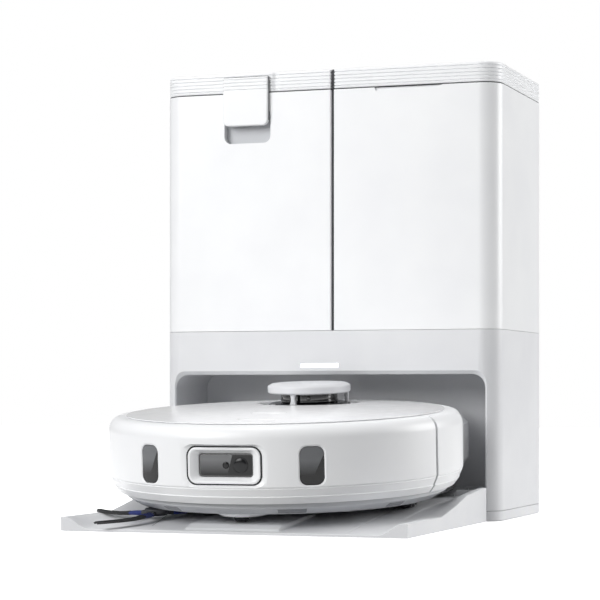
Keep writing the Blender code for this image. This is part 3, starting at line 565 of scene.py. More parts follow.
def light_diffuser():
    """Milky acrylic over white light-emitting diodes: its glow drifts a little in patches."""
    material, tree, shader, place = blank("milky_acrylic_lit", IOR=1.49, Roughness=0.3, Emission_Strength=1.0)
    haze = add_node(tree, "ShaderNodeTexNoise", {"Vector": place}, {"Scale": per_metre(8), "Detail": 1.0})
    tree.links.new(between(tree, haze.outputs["Fac"], "F4F8FF", "FFFFFF"), shader.inputs["Base Color"])
    tree.links.new(between(tree, haze.outputs["Fac"], "F2F7FF", "FFFFFF"), shader.inputs["Emission Color"])
    return material


WHITE = white_satin()
DECK_WHITE = white_gloss()
GREY = grey_texture()
PAN = grey_underside()
DARK = dark_textured()
DRUM = dark_gloss()
RUBBER = rubber()
HOOD = grey_satin()
LENS = lens_black()
SMOKE = smoked_window()
BRISTLE = nylon_bristle("black_nylon_bristle", "0C0D0F", "1B1D20")
BLUE = nylon_bristle("blue_nylon_bristle", "1D2A66", "2C3C86")
PILE = microfibre()
PAPER = bag_paper()
CONTACT = plated_strip()
BOARD = board_mask()
LIT = light_diffuser()


# Station.

PLATE_LOW, PLATE_HIGH = corners("base_plate")
RAMP_HALF = PLATE_HIGH[0] - 0.012
RAMP_FRONT = PLATE_LOW[1]
WHEEL_LINE = -0.1126
CORNER = 0.020
REAR_CORNER = 0.012


def ramp_height(x, y):
    """Height of the ramp's upper side.

    The wheel tracks rise evenly and then ease off. Towards each side the floor swells in a smoothstep up to a
    curb, whose crest follows its own rise. The middle pad stands proud with short sloped flanks. A fine line
    is sunk beside each track, and low ribs cross the tracks where the wheels stop.
    """
    rise = np.minimum(y, WHEEL_LINE) - RAMP_FRONT
    track = 0.0025 + 0.0984 * rise + 0.060 * np.clip(y - WHEEL_LINE, 0, None)
    crest = np.interp(y, [-0.158, -0.150, -0.108, -0.071, -0.011, 0.001],
                      [0.0127, 0.0137, 0.0205, 0.0283, 0.0324, 0.0326])
    crest = np.maximum(crest, track)
    side = np.abs(x)
    height = track + (crest - track) * smoothstep(0.1345, 0.1575, side)
    pad = np.interp(y, [-0.256, -0.245, -0.170, -0.160], [0.0045, 0.0081, 0.01335, 0.0130])
    inside = smoothstep(0.0455, 0.0425, side) * smoothstep(-0.2575, -0.2545, y) * smoothstep(-0.1585, -0.1615,
                                                                                             y)
    height = np.maximum(height, track + (pad - track) * inside)
    groove = np.exp(-((side - 0.1045) / 0.0007) ** 2) * smoothstep(-0.259, -0.254, y)
    ribs = 0.5 + 0.5 * np.cos(2 * np.pi * y / 0.0052)
    ribbed = smoothstep(0.1055, 0.107, side) * smoothstep(0.1325, 0.131, side)
    ribbed = ribbed * smoothstep(-0.176, -0.170, y) * smoothstep(-0.030, -0.036, y)
    return height - 0.0005 * groove + 0.0006 * ribs * ribbed


def ramp_columns():
    """Places across the ramp, closer together where the height changes."""
    half = np.concatenate([np.linspace(0, 0.040, 9), np.linspace(0.0415, 0.0465, 11),
                           np.linspace(0.055, 0.099, 8),
                           np.linspace(0.1025, 0.1085, 19), np.linspace(0.111, 0.130, 9),
                           np.linspace(0.1315, 0.160, 30), [RAMP_HALF - 0.0004, RAMP_HALF]])
    return np.concatenate([-half[:0:-1], half])


def station_base():
    """Ramp with its curbs and middle pad, and the plinth that the housing stands on."""
    x = ramp_columns()[None, :]
    y = np.concatenate([[RAMP_FRONT, RAMP_FRONT + 0.0004],
                        np.linspace(RAMP_FRONT + 0.001, RAMP_FRONT + 0.010, 19),
                        np.arange(-0.250, 0.0005, 0.00104)])[:, None]
    z = ramp_height(x, y)
    edge = np.minimum(y - RAMP_FRONT, RAMP_HALF - np.abs(x))
    z = z - 0.0006 * (1 - smoothstep(0, 0.0006, edge))
    top = np.stack([x + 0 * y, y + 0 * x, z], -1)
    bottom = top.copy()
    bottom[..., 2] = 0.0
    low, high = (PLATE_LOW[0], 0.0), (PLATE_HIGH[0], PLATE_HIGH[1])
    radii = (CORNER, CORNER, REAR_CORNER, REAR_CORNER)
    rings = [level(plan(low, high, radii, inset), z) for inset, z in
             ((0.0012, 0.0), (0.0, 0.0012), (0.0, 0.0097), (0.0002, 0.0099))]
    item = make("station_base", [slab(top, bottom), loft(rings)])
    return finish(item, GREY, "station", ["base_plate"], sharp=30)


def drain_dots():
    """A row of small dark drain pins let into the ramp beside the left track."""
    shapes = []
    for share in np.linspace(0, 1, 11):
        x, y = -0.083 - 0.010 * share, -0.236 + 0.055 * share
        z = float(ramp_height(np.array(x), np.array(y)))
        shapes.append(shifted(turned([(0, -0.0006), (0.0008, -0.0006), (0.0008, 0.0001), (0, 0.00015)], 12),
                              x, y, z))
    finish(make("drain_pins", shapes), DARK, "station")


def feet():
    """Rubber feet with a moulded ring and a shallow dish."""
    for number in range(1, 5):
        low, high = corners(f"foot_{number}")
        radius, top = (high[0] - low[0]) / 2, high[2]
        profile = rounded_path([(0, 0.0004, 0), (radius * 0.5, 0.0004, 0.0004), (radius * 0.6, 0.0, 0.0004),
                                (radius, 0.0, 0.0008), (radius, top, 0.0003), (0, top, 0)])
        shape = turned(profile, 48, ((low[0] + high[0]) / 2, (low[1] + high[1]) / 2))
        finish(make(f"rubber_foot_{number}", [shape]), RUBBER, "station", [f"foot_{number}"])


LID_GROOVES = 5
GROOVE_PITCH = 0.0034
GROOVE_DEPTH = 0.0011


def lid_band(bottom, top):
    """Section of a lid's rim as (inset, z): cosine grooves between flat ribs, rolled over at the top."""
    made = [(0.0042, bottom + 0.0070), (0.0042, bottom + 0.0006), (0.0034, bottom), (0.0014, bottom),
            (0.0013, bottom + 0.0006), (0.0007, bottom + 0.0008), (0.0003, bottom + 0.0013)]
    first = top - GROOVE_PITCH * LID_GROOVES - 0.0004
    swing = np.linspace(-1, 1, 9)
    for i in range(LID_GROOVES):
        centre = first + i * GROOVE_PITCH + 0.0006
        made += [(0.0003 + GROOVE_DEPTH * (0.5 + 0.5 * math.cos(math.pi * s)), centre + 0.00065 * s)
                 for s in swing]
    roll = np.radians(np.linspace(0, 90, 6))
    made += [(0.0003 + 0.0016 * (1 - math.cos(a)), top - 0.0016 + 0.0016 * math.sin(a)) for a in roll]
    return made


def lid(side, left, right, radii, notch):
    """Lid with a grooved rim, a sunk pocket for the handle and an underside lip, as one skin.

    Its outlines are plan rectangles of growing inset; the pocket's outline has the same number of points, so
    the flat top is a band between the two. A notch is a soft dent in the rim, exp(-(x/width)^4) in section.
    """
    node = f"{side}_lid"
    top = corners(node)[1][2]
    hinge_y, hinge_z = JOINTS[f"{side}_lid_hinge"]["pos_m"][1:]
    bottom = hinge_z + 0.00015
    depth = corners("housing")[1][1]
    low, high = (left, 0.0), (right, depth)
    straight = (150, 40, 60, 40)
    rings = []
    for inset, z in lid_band(bottom, top):
        outline = plan(low, high, radii, inset, straight, 8)
        if notch is not None:
            dent = 0.0013 * np.exp(-((outline[:, 0] - notch) / 0.0027) ** 4)
            outline[:, 1] += dent * (outline[:, 1] < 0.01)
        rings.append(level(outline, z))
    middle = (left + right) / 2
    pocket_low, pocket_high = (middle - 0.055, 0.055), (middle + 0.055, 0.125)
    for inset, drop in ((-0.0012, 0.0), (-0.0005, 0.0002), (0.0, 0.0009), (0.0002, 0.0080), (0.0006, 0.0091),
                        (0.0016, 0.0095)):
        rings.append(level(plan(pocket_low, pocket_high, (0.008,) * 4, inset, straight, 8), top - drop))
    shapes = [loft(rings)]
    knuckle = turned(rounded_path([(0, -0.020, 0), (0.0027, -0.020, 0.0004), (0.0027, 0.020, 0.0004),
                                   (0, 0.020, 0)]), 32)
    shapes.append(along_x(shifted(knuckle, z=middle), (hinge_y, hinge_z)))
    web_low, web_high = (middle - 0.0198, depth - 0.003), (middle + 0.0198, hinge_y)
    web = plan(web_low, web_high, (0.0005,) * 4)
    shapes.append(loft([level(web, bottom + 0.0004), level(web, bottom + 0.0056)]))
    item = make(f"{side}_tank_lid", shapes)
    finish(item, WHITE, node, [node], sharp=40)
    seal = [level(plan(low, high, radii, inset, straight, 8), z) for inset, z in
            ((0.0006, bottom - 0.0003), (0.0006, bottom + 0.0005), (0.0013, bottom + 0.0005),
             (0.0013, bottom - 0.0003))]
    finish(make(f"{side}_lid_seal", [loft(seal, along=True)]), RUBBER, node)


def lids():
    """Both lids; the left one has a dent in its rim beside the clip."""
    station_low, station_high = corners("housing")
    small = 0.0015
    divider_left, divider_right = corners("dirty_tank")[1][0], corners("clean_tank")[0][0]
    lid("dirty", station_low[0], divider_left, (CORNER, small, small, REAR_CORNER), -0.053)
    lid("clean", divider_right, station_high[0], (small, CORNER, REAR_CORNER, small), None)


def tanks():
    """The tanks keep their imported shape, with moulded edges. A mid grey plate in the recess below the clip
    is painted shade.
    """
    dress("dirty_tank", WHITE, 0.0007)
    dress("clean_tank", WHITE, 0.0007)
    low, high = corners("lid_clip")
    # painted shade: a mid grey plate at the back of the recess darkens it
    recess_shade_plate = tile((low[0] + 0.0004, 0.3712), (high[0] - 0.0004, high[2] - 0.022), (0.005, 0.001), 0.0076,
                  0.0083, 0.0002, None,
                  30, 30)
    finish(make("clip_recess_lining", [recess_shade_plate]), PAN, "dirty_tank")


def gap_shade_strips():
    """Dark strips set in the gap between the tanks and the gap between their lids, as painted shade for those
    gaps.
    """
    left, right = corners("dirty_tank")[1][0], corners("clean_tank")[0][0]
    bottom, top = corners("clean_tank")[0][2], corners("clean_lid")[1][2]
    seam = JOINTS["clean_lid_hinge"]["pos_m"][2]
    # painted shade: these dark strips stand in for the shade inside the gaps
    low, high = (left + 0.0004, 0.0026), (right - 0.0004, 0.168)
    for name, body, start, end in (("tank_divider", "clean_tank", bottom, seam),
                                   ("lid_divider", "clean_lid", seam, top)):
        rings = [level(plan(low, high, (0.0004,) * 4, inset), z) for inset, z in
                 ((0.0003, start + 0.0003), (0.0, start + 0.0006), (0.0, end - 0.0006),
                  (0.0003, end - 0.0003))]
        finish(make(name, [loft(rings)]), DARK, body)


def clip():
    """Clip on the left lid: a plate with rolled edges whose top carries on the lid's grooves."""
    low, high = corners("lid_clip")
    lid_top = corners("dirty_lid")[1][2]
    first = lid_top - GROOVE_PITCH * LID_GROOVES + 0.0002

    def grooves(x, z):
        """Cosine grooves level with the lid's, above its seam."""
        nearest = np.round((z - first) / GROOVE_PITCH)
        offset = np.clip(np.abs(z - first - nearest * GROOVE_PITCH) / 0.00065, 0, 1)
        real = (nearest >= 0) & (nearest < LID_GROOVES - 1)
        return GROOVE_DEPTH * (0.5 + 0.5 * np.cos(np.pi * offset)) * real

    shape = tile((low[0], low[2]), (high[0], high[2]), (0.006, 0.001), low[1], high[1], 0.0013, grooves, 40,
                 260)
    finish(make("tank_clip", [shape]), WHITE, "lid_clip", ["lid_clip"], sharp=50)
    # painted shade: a dark plate behind the clip shows as thin dark lines along its top and sides, in place
    # of the shade in the gaps round it
    edge = 0.0004
    gap_shade_plate = tile((low[0] - edge, low[2] + 0.004), (high[0] + edge, high[2] + 1.5 * edge), (0.002, 0.001),
                   low[1] + 0.0022,
                   low[1] + 0.0034, 0.0002, None, 20, 20)
    finish(make("tank_clip_backing", [gap_shade_plate]), DARK, "lid_clip")


def handle(side):
    """Carry handle: a rounded section swept along a U that lies in its pocket, with a boss at each end."""
    node = f"{side}_handle"
    low, high = corners(node)
    z = (low[2] + high[2]) / 2
    half_width, half_height = 0.0040, (high[2] - low[2]) / 2
    left, right = low[0] + half_width, high[0] - half_width
    front, back = low[1] + half_width, high[1] - 0.0035
    path = rounded_path([(left, back, 0), (left, front, 0.010), (right, front, 0.010), (right, back, 0)], 12)
    dense = [path[0] + (path[1] - path[0]) * s for s in np.linspace(0, 1, 8)[:-1]]
    dense += list(path[1:-2]) + [path[-2] + (path[-1] - path[-2]) * s for s in np.linspace(0, 1, 8)]
    section = plan((-half_width, -half_height), (half_width, half_height), (0.0022,) * 4, steps=5)[::-1]
    shapes = [sweep(level(np.array(dense), z), section)]
    for x in (left, right):
        boss = rounded_path([(0, -0.004, 0), (0.0035, -0.004, 0.0006), (0.0035, 0.004, 0.0006),
                             (0, 0.004, 0)])
        shapes.append(along_x(shifted(turned(boss, 32), z=x),
                              (JOINTS[f"{side}_handle_hinge"]["pos_m"][1], z)))
    finish(make(f"{side}_tank_handle", shapes), WHITE, node, [node])


def status_light():
    """Lit bar in the fascia, its face a hair behind the surface and its edges rounded."""
    low, high = corners("light_bar")
    shape = tile((low[0], low[2]), (high[0], high[2]), (0.0012, 0.0012), low[1], high[1], 0.0005, None, 40,
                 20)
    finish(make("status_light", [shape]), LIT, "station", ["light_bar"])


def bay_fittings():
    """Housing, wash tray, dust port and charge contacts."""
    dress("housing", GREY, 0.0008)
    dress("wash_tray", GREY, 0.0005)
    dress("dust_port", RUBBER, 0.0006)
    for side in ("left", "right"):
        low, high = corners(f"charge_contact_{side}")
        crown = (high[0] - low[0]) / 2

        def spring(x, z, middle=(low[0] + high[0]) / 2, crown=crown):
            """A shallow bow across the strip."""
            return 0.0005 * ((x - middle) / crown) ** 2

        shape = tile((low[0], low[2]), (high[0], high[2]), (0.0015, 0.0015), low[1], high[1], 0.0003, spring,
                     30, 24)
        finish(make(f"charge_strip_{side}", [shape]), CONTACT, "station",
               [f"charge_contact_{side}"])


def rear_panel():
    """Rear panel with its door opening, inlet opening and two banks of rounded louvre slots."""
    low, high = corners("rear_panel")
    door_low, door_high = corners("dust_door")
    inlet_low, inlet_high = corners("power_inlet")
    outline = plan((low[0], low[2]), (high[0], high[2]), (0.003,) * 4)
    item = make("station_rear_panel", [loft([upright(outline, low[1]), upright(outline, high[1])])])
    grow = 0.0004
    holes = []
    for hole_low, hole_high, radius in ((door_low, door_high, 0.006), (inlet_low, inlet_high, 0.001)):
        hole = plan((hole_low[0] - grow, hole_low[2] - grow), (hole_high[0] + grow, hole_high[2] + grow),
                    (radius,) * 4)
        holes.append(loft([upright(hole, low[1] - 0.01), upright(hole, high[1] + 0.01)]))
    for left in (-0.134, 0.090):
        for i in range(7):
            z = 0.088 + 0.0085 * i
            slot = plan((left, z), (left + 0.044, z + 0.0040), (0.00199,) * 4)
            holes.append(loft([upright(slot, low[1] + 0.0006), upright(slot, high[1] + 0.01)]))
    carve(item, holes)
    finish(item, GREY, "station", ["rear_panel"], edge=0.0003)


def rear_fittings():
    """Dust door with a framed face and finger dish, and the inlet with its two pins."""
    low, high = corners("dust_door")
    middle = ((low[0] + high[0]) / 2, (low[2] + high[2]) / 2)

    def face(x, z):
        """A sunk frame line inside the door's edge, and an oval finger dish near its free side."""
        to_edge = np.minimum((high[0] - low[0]) / 2 - np.abs(x - middle[0]),
                             (high[2] - low[2]) / 2 - np.abs(z - middle[1]))
        line = 0.0006 * np.exp(-((to_edge - 0.006) / 0.0006) ** 4)
        dish = np.clip(1 - ((x - 0.059) / 0.0075) ** 2 - ((z - middle[1]) / 0.015) ** 2, 0, 1)
        return -line - 0.0014 * np.sqrt(dish)

    shape = tile((low[0], low[2]), (high[0], high[2]), (0.0055, 0.0055), high[1], low[1], 0.0006, face, 150,
                 150)
    finish(make("dust_bag_door", [shape]), GREY, "dust_door", ["dust_door"], sharp=50)
    dress("power_inlet", DARK, 0.0004)
    low, high = corners("power_inlet")
    pins = []
    for side in (-1, 1):
        pin = rounded_path([(0, 0.158, 0), (0.0012, 0.158, 0), (0.0012, 0.1725, 0.0006), (0, 0.1732, 0)])
        x, z = (low[0] + high[0]) / 2 + side * 0.0045, (low[2] + high[2]) / 2
        points, faces = turned(pin, 20)
        pins.append((np.stack([points[:, 0] + x, points[:, 2], points[:, 1] + z], -1), faces))
    finish(make("inlet_pins", pins), CONTACT, "station")


def dust_bag():
    """Filled filter bag: a lofted pillow with pleats down its sides and a stiff card collar on top."""
    low, high = corners("dust_bag")
    middle, half = (low[:2] + high[:2]) / 2, (high[:2] - low[:2]) / 2
    height = high[2] - low[2]
    steps = 160
    angle = np.linspace(0, 2 * np.pi, steps, endpoint=False)[None, :]
    t = np.linspace(0, 1, 90)[:, None]
    belly = np.clip(1 - np.abs(2 * t - 0.86) ** 3.2 / 1.55, 0.02, 1) ** 0.5
    pleats = 1 - 0.018 * (0.5 + 0.5 * np.cos(14 * angle + 3 * np.sin(5 * t))) * np.sin(np.pi * t)
    sag = 1 + 0.015 * np.sin(9 * t + 2 * np.cos(angle))
    power = 0.55
    across = np.sign(np.cos(angle)) * np.abs(np.cos(angle)) ** power
    along = np.sign(np.sin(angle)) * np.abs(np.sin(angle)) ** power
    scale = 0.965 * belly * pleats * sag
    rings = np.stack([middle[0] + half[0] * across * scale, middle[1] + half[1] * along * scale,
                      low[2] + height * 0.95 * t + 0 * angle], -1)
    bag = finish(make("filter_bag", [loft(rings)]), PAPER, "station", ["dust_bag"], sharp=80)
    collar_low, collar_high = (middle[0] - 0.026, middle[1] - 0.016), (middle[0] + 0.026, middle[1] + 0.016)
    collar = [level(plan(collar_low, collar_high, (0.003,) * 4, inset), z) for inset, z in
              ((0.0004, high[2] - 0.0075), (0, high[2] - 0.007), (0, high[2] - 0.0054),
               (0.0004, high[2] - 0.005))]
    finish(make("bag_collar", [loft(collar)]), PAN, "station")


def service_parts():
    """Suction fan with its finned motor can, and the pump with its ribs and spigot."""
    low, high = corners("suction_fan")
    centre = ((low[0] + high[0]) / 2, (low[1] + high[1]) / 2)
    z0 = low[2]
    profile = rounded_path([(0, z0, 0), (0.028, z0, 0.002), (0.028, z0 + 0.0437, 0.001),
                            (0.034, z0 + 0.0477, 0.002),
                            (0.034, z0 + 0.0757, 0.003), (0.014, z0 + 0.0817, 0.002), (0.014, high[2], 0.001),
                            (0, high[2], 0)])
    points, faces = turned(profile, 144, centre)
    around = np.arctan2(points[:, 1] - centre[1], points[:, 0] - centre[0])
    can = smoothstep(z0 + 0.004, z0 + 0.006, points[:, 2]) * smoothstep(z0 + 0.042, z0 + 0.040, points[:, 2])
    shrink = 1 - 0.05 * can * (0.5 + 0.5 * np.cos(24 * around))
    points[:, 0] = centre[0] + (points[:, 0] - centre[0]) * shrink
    points[:, 1] = centre[1] + (points[:, 1] - centre[1]) * shrink
    finish(make("suction_motor", [(points, faces)]), DARK, "station", ["suction_fan"])
    dress("water_pump", DARK, 0.0010)


def station():
    """Every piece of the station."""
    station_base()
    drain_dots()
    feet()
    tanks()
    lids()
    gap_shade_strips()
    clip()
    handle("dirty")
    handle("clean")
    status_light()
    bay_fittings()
    rear_panel()
    rear_fittings()
    dust_bag()
    service_parts()


# Robot, drawn level in its own frame. Angles round it are in degrees from +X, with its front at FRONT.

FRONT = 270

BUMPER_LOW, BUMPER_HIGH = corners("bumper", True)
SHELL = -BUMPER_LOW[1]
FOOT, SHOULDER = BUMPER_LOW[2], BUMPER_HIGH[2]
BUMPER_END = 74.0
REAR_START = 75.2
DECK = corners("top_cover", True)
DECK_RADIUS = DECK[1][0]
TURRET_HOLE = 0.0492
WINDOW_TURN = 27.6


def shell_outline(wall=0.003):
    """Section of the robot's side wall as (radius, height).

    It has a chamfered foot with two fine sunk lines, an upright wall, an elliptic shoulder and a top flange.
    """
    foot = [(0.1545, FOOT, 0.0), (0.1552, FOOT, 0.0004), (0.1598, 0.0256, 0.0006), (0.1601, 0.0262, 0.0002),
            (0.1596, 0.0266, 0.0002),
            (0.1599, 0.0271, 0.0003), (0.1629, 0.0333, 0.0004), (0.1625, 0.0337, 0.0002),
            (0.1630, 0.0343, 0.0003),
            (SHELL, 0.0352, 0.0010), (SHELL, 0.060, 0)]
    outer = rounded_path(foot, 4)
    a = np.radians(np.linspace(0, 90, 22))
    shoulder = np.stack([0.153 + (SHELL - 0.153) * np.cos(a), 0.0752 + (SHOULDER - 0.0752) * np.sin(a)], -1)
    inner = np.stack([0.150 + (SHELL - 0.150 - wall) * np.cos(a[::-3]), 0.072 + 0.0136 * np.sin(a[::-3])], -1)
    flange = [(0.1436, SHOULDER), (0.1430, SHOULDER - 0.0006), (0.143, 0.0856)]
    back = [(SHELL - wall, 0.0344), (0.1573, 0.0276), (0.1525, FOOT)]
    return np.concatenate([outer, shoulder, flange, inner, back])


def front_outline(half, low, high, radius, straight=12):
    """An (x, z) outline on the robot's front, centred across."""
    return plan((-half, low), (half, high), (radius,) * 4, 0.0, (straight, 6, straight, 6), 8)


def on_shell(outline, radius):
    """An (x, z) outline laid on the cylinder of a radius, at y = -sqrt(radius^2 - x^2)."""
    return np.column_stack([outline[:, 0], -np.sqrt(radius ** 2 - outline[:, 0] ** 2), outline[:, 1]])


def sunk_opening(outer, inner, floor, through):
    """Cutter with sloped sides: a wide outline on the shell, a narrow one at its floor, then on through."""
    rim, bottom = on_shell(outer, SHELL), floor(inner)
    mouth = bottom + 1.06 * (rim - bottom)
    outside, deep = mouth.copy(), bottom.copy()
    outside[:, 1] = -0.172
    deep[:, 1] = through
    return loft([outside, mouth, bottom, deep])


def bumper():
    """Bumper shell with its sloped camera recess and the two window openings."""
    item = make("front_bumper", [sector(shell_outline(), FRONT - BUMPER_END, FRONT + BUMPER_END, 192)], True)
    x = np.linspace(-0.0435, 0.0435, 30)[None, :]
    z = np.array([0.0318, 0.0745])[:, None]
    outer = np.stack([x + 0 * z, -np.sqrt((SHELL - 0.0016) ** 2 - x ** 2) + 0 * z, z + 0 * x], -1)
    inner = outer.copy()
    inner[..., 1] = -0.1535
    carve(item, [slab(outer, inner)], True, "UNION")
    recess = sunk_opening(front_outline(0.0400, 0.0344, 0.0721, 0.0115),
                          front_outline(0.0346, 0.0366, 0.0702, 0.0090),
                          lambda o: upright(o, -0.1578), -0.140)
    cuts = [recess]
    for side in (-1, 1):
        opening = sunk_opening(front_outline(0.0121, 0.0347, 0.0709, 0.0078, 6),
                               front_outline(0.0108, 0.0360, 0.0696, 0.0068, 6),
                               lambda o: on_shell(o, SHELL - 0.0008), -0.140)
        cuts.append(about_z(opening, side * WINDOW_TURN))
    for shape in cuts:
        carve(item, [shape], True)
    finish(item, WHITE, "bumper", ["bumper"], edge=0.0005, sharp=30)


def gap_seals():
    """Dark flexible strips behind the two gaps between the bumper and the rear shell."""
    a = np.radians(np.linspace(0, 80, 8))
    outer = np.stack([0.150 + 0.0086 * np.cos(a), 0.072 + 0.0118 * np.sin(a)], -1)
    inner = outer[::-1] * [0.99, 1.0] - [0.0006, 0.0006]
    profile = np.concatenate([[(0.1520, 0.0215), (0.1568, 0.0290), (0.1586, 0.0350)], outer, inner,
                              [(0.1570, 0.0352), (0.1552, 0.0295), (0.1505, 0.0215)]])
    gap, reach = 74.6, 2.2
    shapes = [sector(profile, FRONT + side * gap - reach, FRONT + side * gap + reach, 10) for side in (-1, 1)]
    finish(make("bumper_gap_seals", shapes, True), RUBBER, "robot")


def camera_module():
    """Framed camera window: white funnel bezel, a dark rubber ring round it in place of the shade in the gap
    there, tinted pane with a painted reflection, lens and lamp.
    """
    low, high = corners("camera_bezel", True)
    half, middle = high[0], (low[2] + high[2]) / 2
    tall = (high[2] - low[2]) / 2

    def ring(x_half, z_half, radius, y):
        """A rounded rectangle upright at one depth, centred on the bezel."""
        return upright(front_outline(x_half, middle - z_half, middle + z_half, radius), y)

    bezel = [ring(half, tall, 0.0080, -0.1512), ring(half, tall, 0.0080, -0.1583),
             ring(half - 0.0002, tall - 0.0002, 0.0078, -0.1587),
             ring(half - 0.0006, tall - 0.0006, 0.0074, -0.1589),
             ring(half - 0.0018, tall - 0.0018, 0.0064, -0.1589),
             ring(half - 0.0023, tall - 0.0023, 0.0060, -0.1587), ring(0.0256, 0.0108, 0.0036, -0.1546),
             ring(0.0252, 0.0104, 0.0033, -0.1540), ring(0.0252, 0.0104, 0.0033, -0.1512)]
    finish(make("camera_frame", [loft(bezel, along=True)], True), WHITE, "bumper",
           ["camera_bezel"], sharp=28)
    # painted shade: a dark rubber ring fills the gap round the bezel, in place of the shade in that gap
    gap_shade_ring = [ring(0.0349, 0.0172, 0.0092, -0.1582), ring(half - 0.0004, tall - 0.0004, 0.0076, -0.1582),
              ring(half - 0.0004, tall - 0.0004, 0.0076, -0.1570), ring(0.0344, 0.0167, 0.0088, -0.1570)]
    finish(make("camera_gasket", [loft(gap_shade_ring, along=True)], True), RUBBER, "bumper")
    glass_z = (middle - 0.0101, middle + 0.0101)
    seal = tile((-0.0249, glass_z[0]), (0.0249, glass_z[1]), (0.003, 0.003), -0.1532, -0.1516, 0.0003, None,
                60, 40)
    finish(make("camera_seal", [seal], True), DRUM, "bumper", ["camera_glass"])
    pane = tile((-0.0238, glass_z[0] + 0.0011), (0.0238, glass_z[1] - 0.0011), (0.0022, 0.0022), -0.1537,
                -0.1530,
                0.0003, None, 60, 40)
    centre = to_station([0.0035, -0.1537, middle])
    # painted reflection: the pane is pale 747577 towards its top and left of a slanting line, over a 0D0D0F
    # tint
    glass = glass_with_painted_reflection("tinted_acrylic_camera_pane", "0D0D0F", "747577", (centre[0], centre[2]), 0.274)
    finish(make("camera_pane", [pane], True), glass, "bumper")
    for name, x, radius, node in (("camera_lens_dome", 0.0135, 0.0068, "camera_lens"),
                                  ("camera_lamp_dome", 0.0, 0.0030, "camera_lamp")):
        a = np.radians(np.linspace(12, 90, 10))
        dome = np.stack([radius * 0.88 * np.cos(a), 0.1540 + radius * 0.16 * np.sin(a)], -1)
        profile = [(0, 0.1534), (radius, 0.1534), (radius, 0.1541), (radius * 0.97, 0.1543),
                   (radius * 0.91, 0.1542)]
        shape = facing_front(turned(np.concatenate([profile, dome]), 72), x, middle)
        finish(make(name, [shape], True), LENS, "bumper", [node])


def windows():
    """Side sensor windows: panes curved with the shell, a little below its surface."""
    for side, word in ((-1, "left"), (1, "right")):
        radius = SHELL - 0.0007

        def bow(x, z):
            """Follows the shell's cylinder."""
            return radius - np.sqrt(radius ** 2 - x ** 2)

        low, high = corners(f"window_{word}", True)
        shape = tile((-0.0105, low[2] + 0.0001), (0.0105, high[2] - 0.0001), (0.0064, 0.0064), -radius,
                     -0.1590, 0.0004,
                     bow, 40, 60)
        shape = about_z(shape, side * WINDOW_TURN)
        middle = math.radians(side * WINDOW_TURN)
        centre = to_station([SHELL * math.sin(middle) + 0.0045, -SHELL * math.cos(middle),
                             (low[2] + high[2]) / 2])
        # painted reflection: each window is pale 66686B towards its top and left of a slanting line, over a
        # 08080A tint
        glass = glass_with_painted_reflection(f"tinted_acrylic_window_painted_reflection_{word}", "08080A", "66686B", (centre[0], centre[2]),
                             0.42)
        finish(make(f"sensor_window_{word}", [shape], True), glass, "bumper",
               [f"window_{word}"])


def rear_shell():
    """Fixed rear wall with the inner deck that the turret and the top cover sit on."""
    start, end = FRONT + REAR_START, FRONT + 360 - REAR_START
    shapes = [sector(shell_outline(), start, end, 240)]
    finish(make("rear_shell", shapes, True), WHITE, "robot", ["upper_body"], edge=0.0005,
           sharp=30)
    profile = rounded_path([(0.010, 0.0818, 0), (0.1482, 0.0818, 0.0004), (0.1482, 0.0845, 0.0006),
                            (0.139, 0.0845, 0.0004),
                            (0.138, 0.0836, 0.0004), (0.118, 0.0836, 0.0004), (0.117, 0.0845, 0.0004),
                            (0.010, 0.0845, 0)])
    item = make("inner_deck", [turned(profile, 144)], True)
    low, high = corners("dust_bin", True)
    hole = plan((low[0] - 0.002, low[1] - 0.002), (high[0] + 0.002, high[1] + 0.0015), (0.003,) * 4)
    carve(item, [loft([level(hole, 0.070), level(hole, 0.095)])], True)
    finish(item, PAN, "robot", edge=0.0005)


def crown(radius, lift=0.0):
    """Height of the deck's dome, a parabola of the distance from the robot's axis."""
    top = 0.0925
    return top - (top - 0.0890) * (radius / DECK_RADIUS) ** 2 + lift


def top_cover():
    """Domed deck. Each ring is a blend of the turret's opening and the rim, two circles of different centre.

    The rim and the opening are rolled over, and the two buttons' openings are cut through.
    """
    steps = 240
    hole, rim = circle(TURRET_HOLE, steps, (0, TURRET_BACK)), circle(DECK_RADIUS, steps)
    shares = np.concatenate([[0.0, 0.003, 0.009, 0.02], np.linspace(0.05, 0.97, 36), [0.985, 0.993, 0.998]])
    rings = []
    for share in shares:
        outline = hole + (rim - hole) * share
        z = crown(np.hypot(*outline.T))
        rings.append(np.column_stack([outline, z - 0.0005 * (share == 0.0)]))
    rings.append(np.column_stack([rim, np.full(steps, 0.08865)]))
    rings.append(np.column_stack([rim * 0.9985, np.full(steps, 0.0882)]))
    rings.append(np.column_stack([rim * 0.97, np.full(steps, 0.0881)]))
    rings.append(np.column_stack([hole, np.full(steps, 0.0889)]))
    item = make("top_cover_panel", [loft(rings, along=True)], True)
    for node in ("power_button", "home_button"):
        low, high = corners(node, True)
        hole_outline = plan(low[:2] - 0.00035, high[:2] + 0.00035, (0.0043,) * 4, steps=8)
        carve(item, [loft([level(hole_outline, 0.080), level(hole_outline, 0.100)])], True)
    finish(item, DECK_WHITE, "top_cover", ["top_cover"], edge=0.0, sharp=30)
    for node in ("power_button", "home_button"):
        low, high = corners(node, True)
        top = high[2]
        rings = [level(plan(low[:2], high[:2], (0.0039,) * 4, inset, steps=8), z) for inset, z in
                 ((0.0, low[2]), (0.0, top - 0.0007), (0.0001, top - 0.00035), (0.0004, top - 0.0001),
                  (0.0012, top - 0.0001),
                  (0.0025, top - 0.00045), (0.0035, top - 0.0005))]
        finish(make(f"{node}_cap", [loft(rings)], True), DECK_WHITE, node, [node])


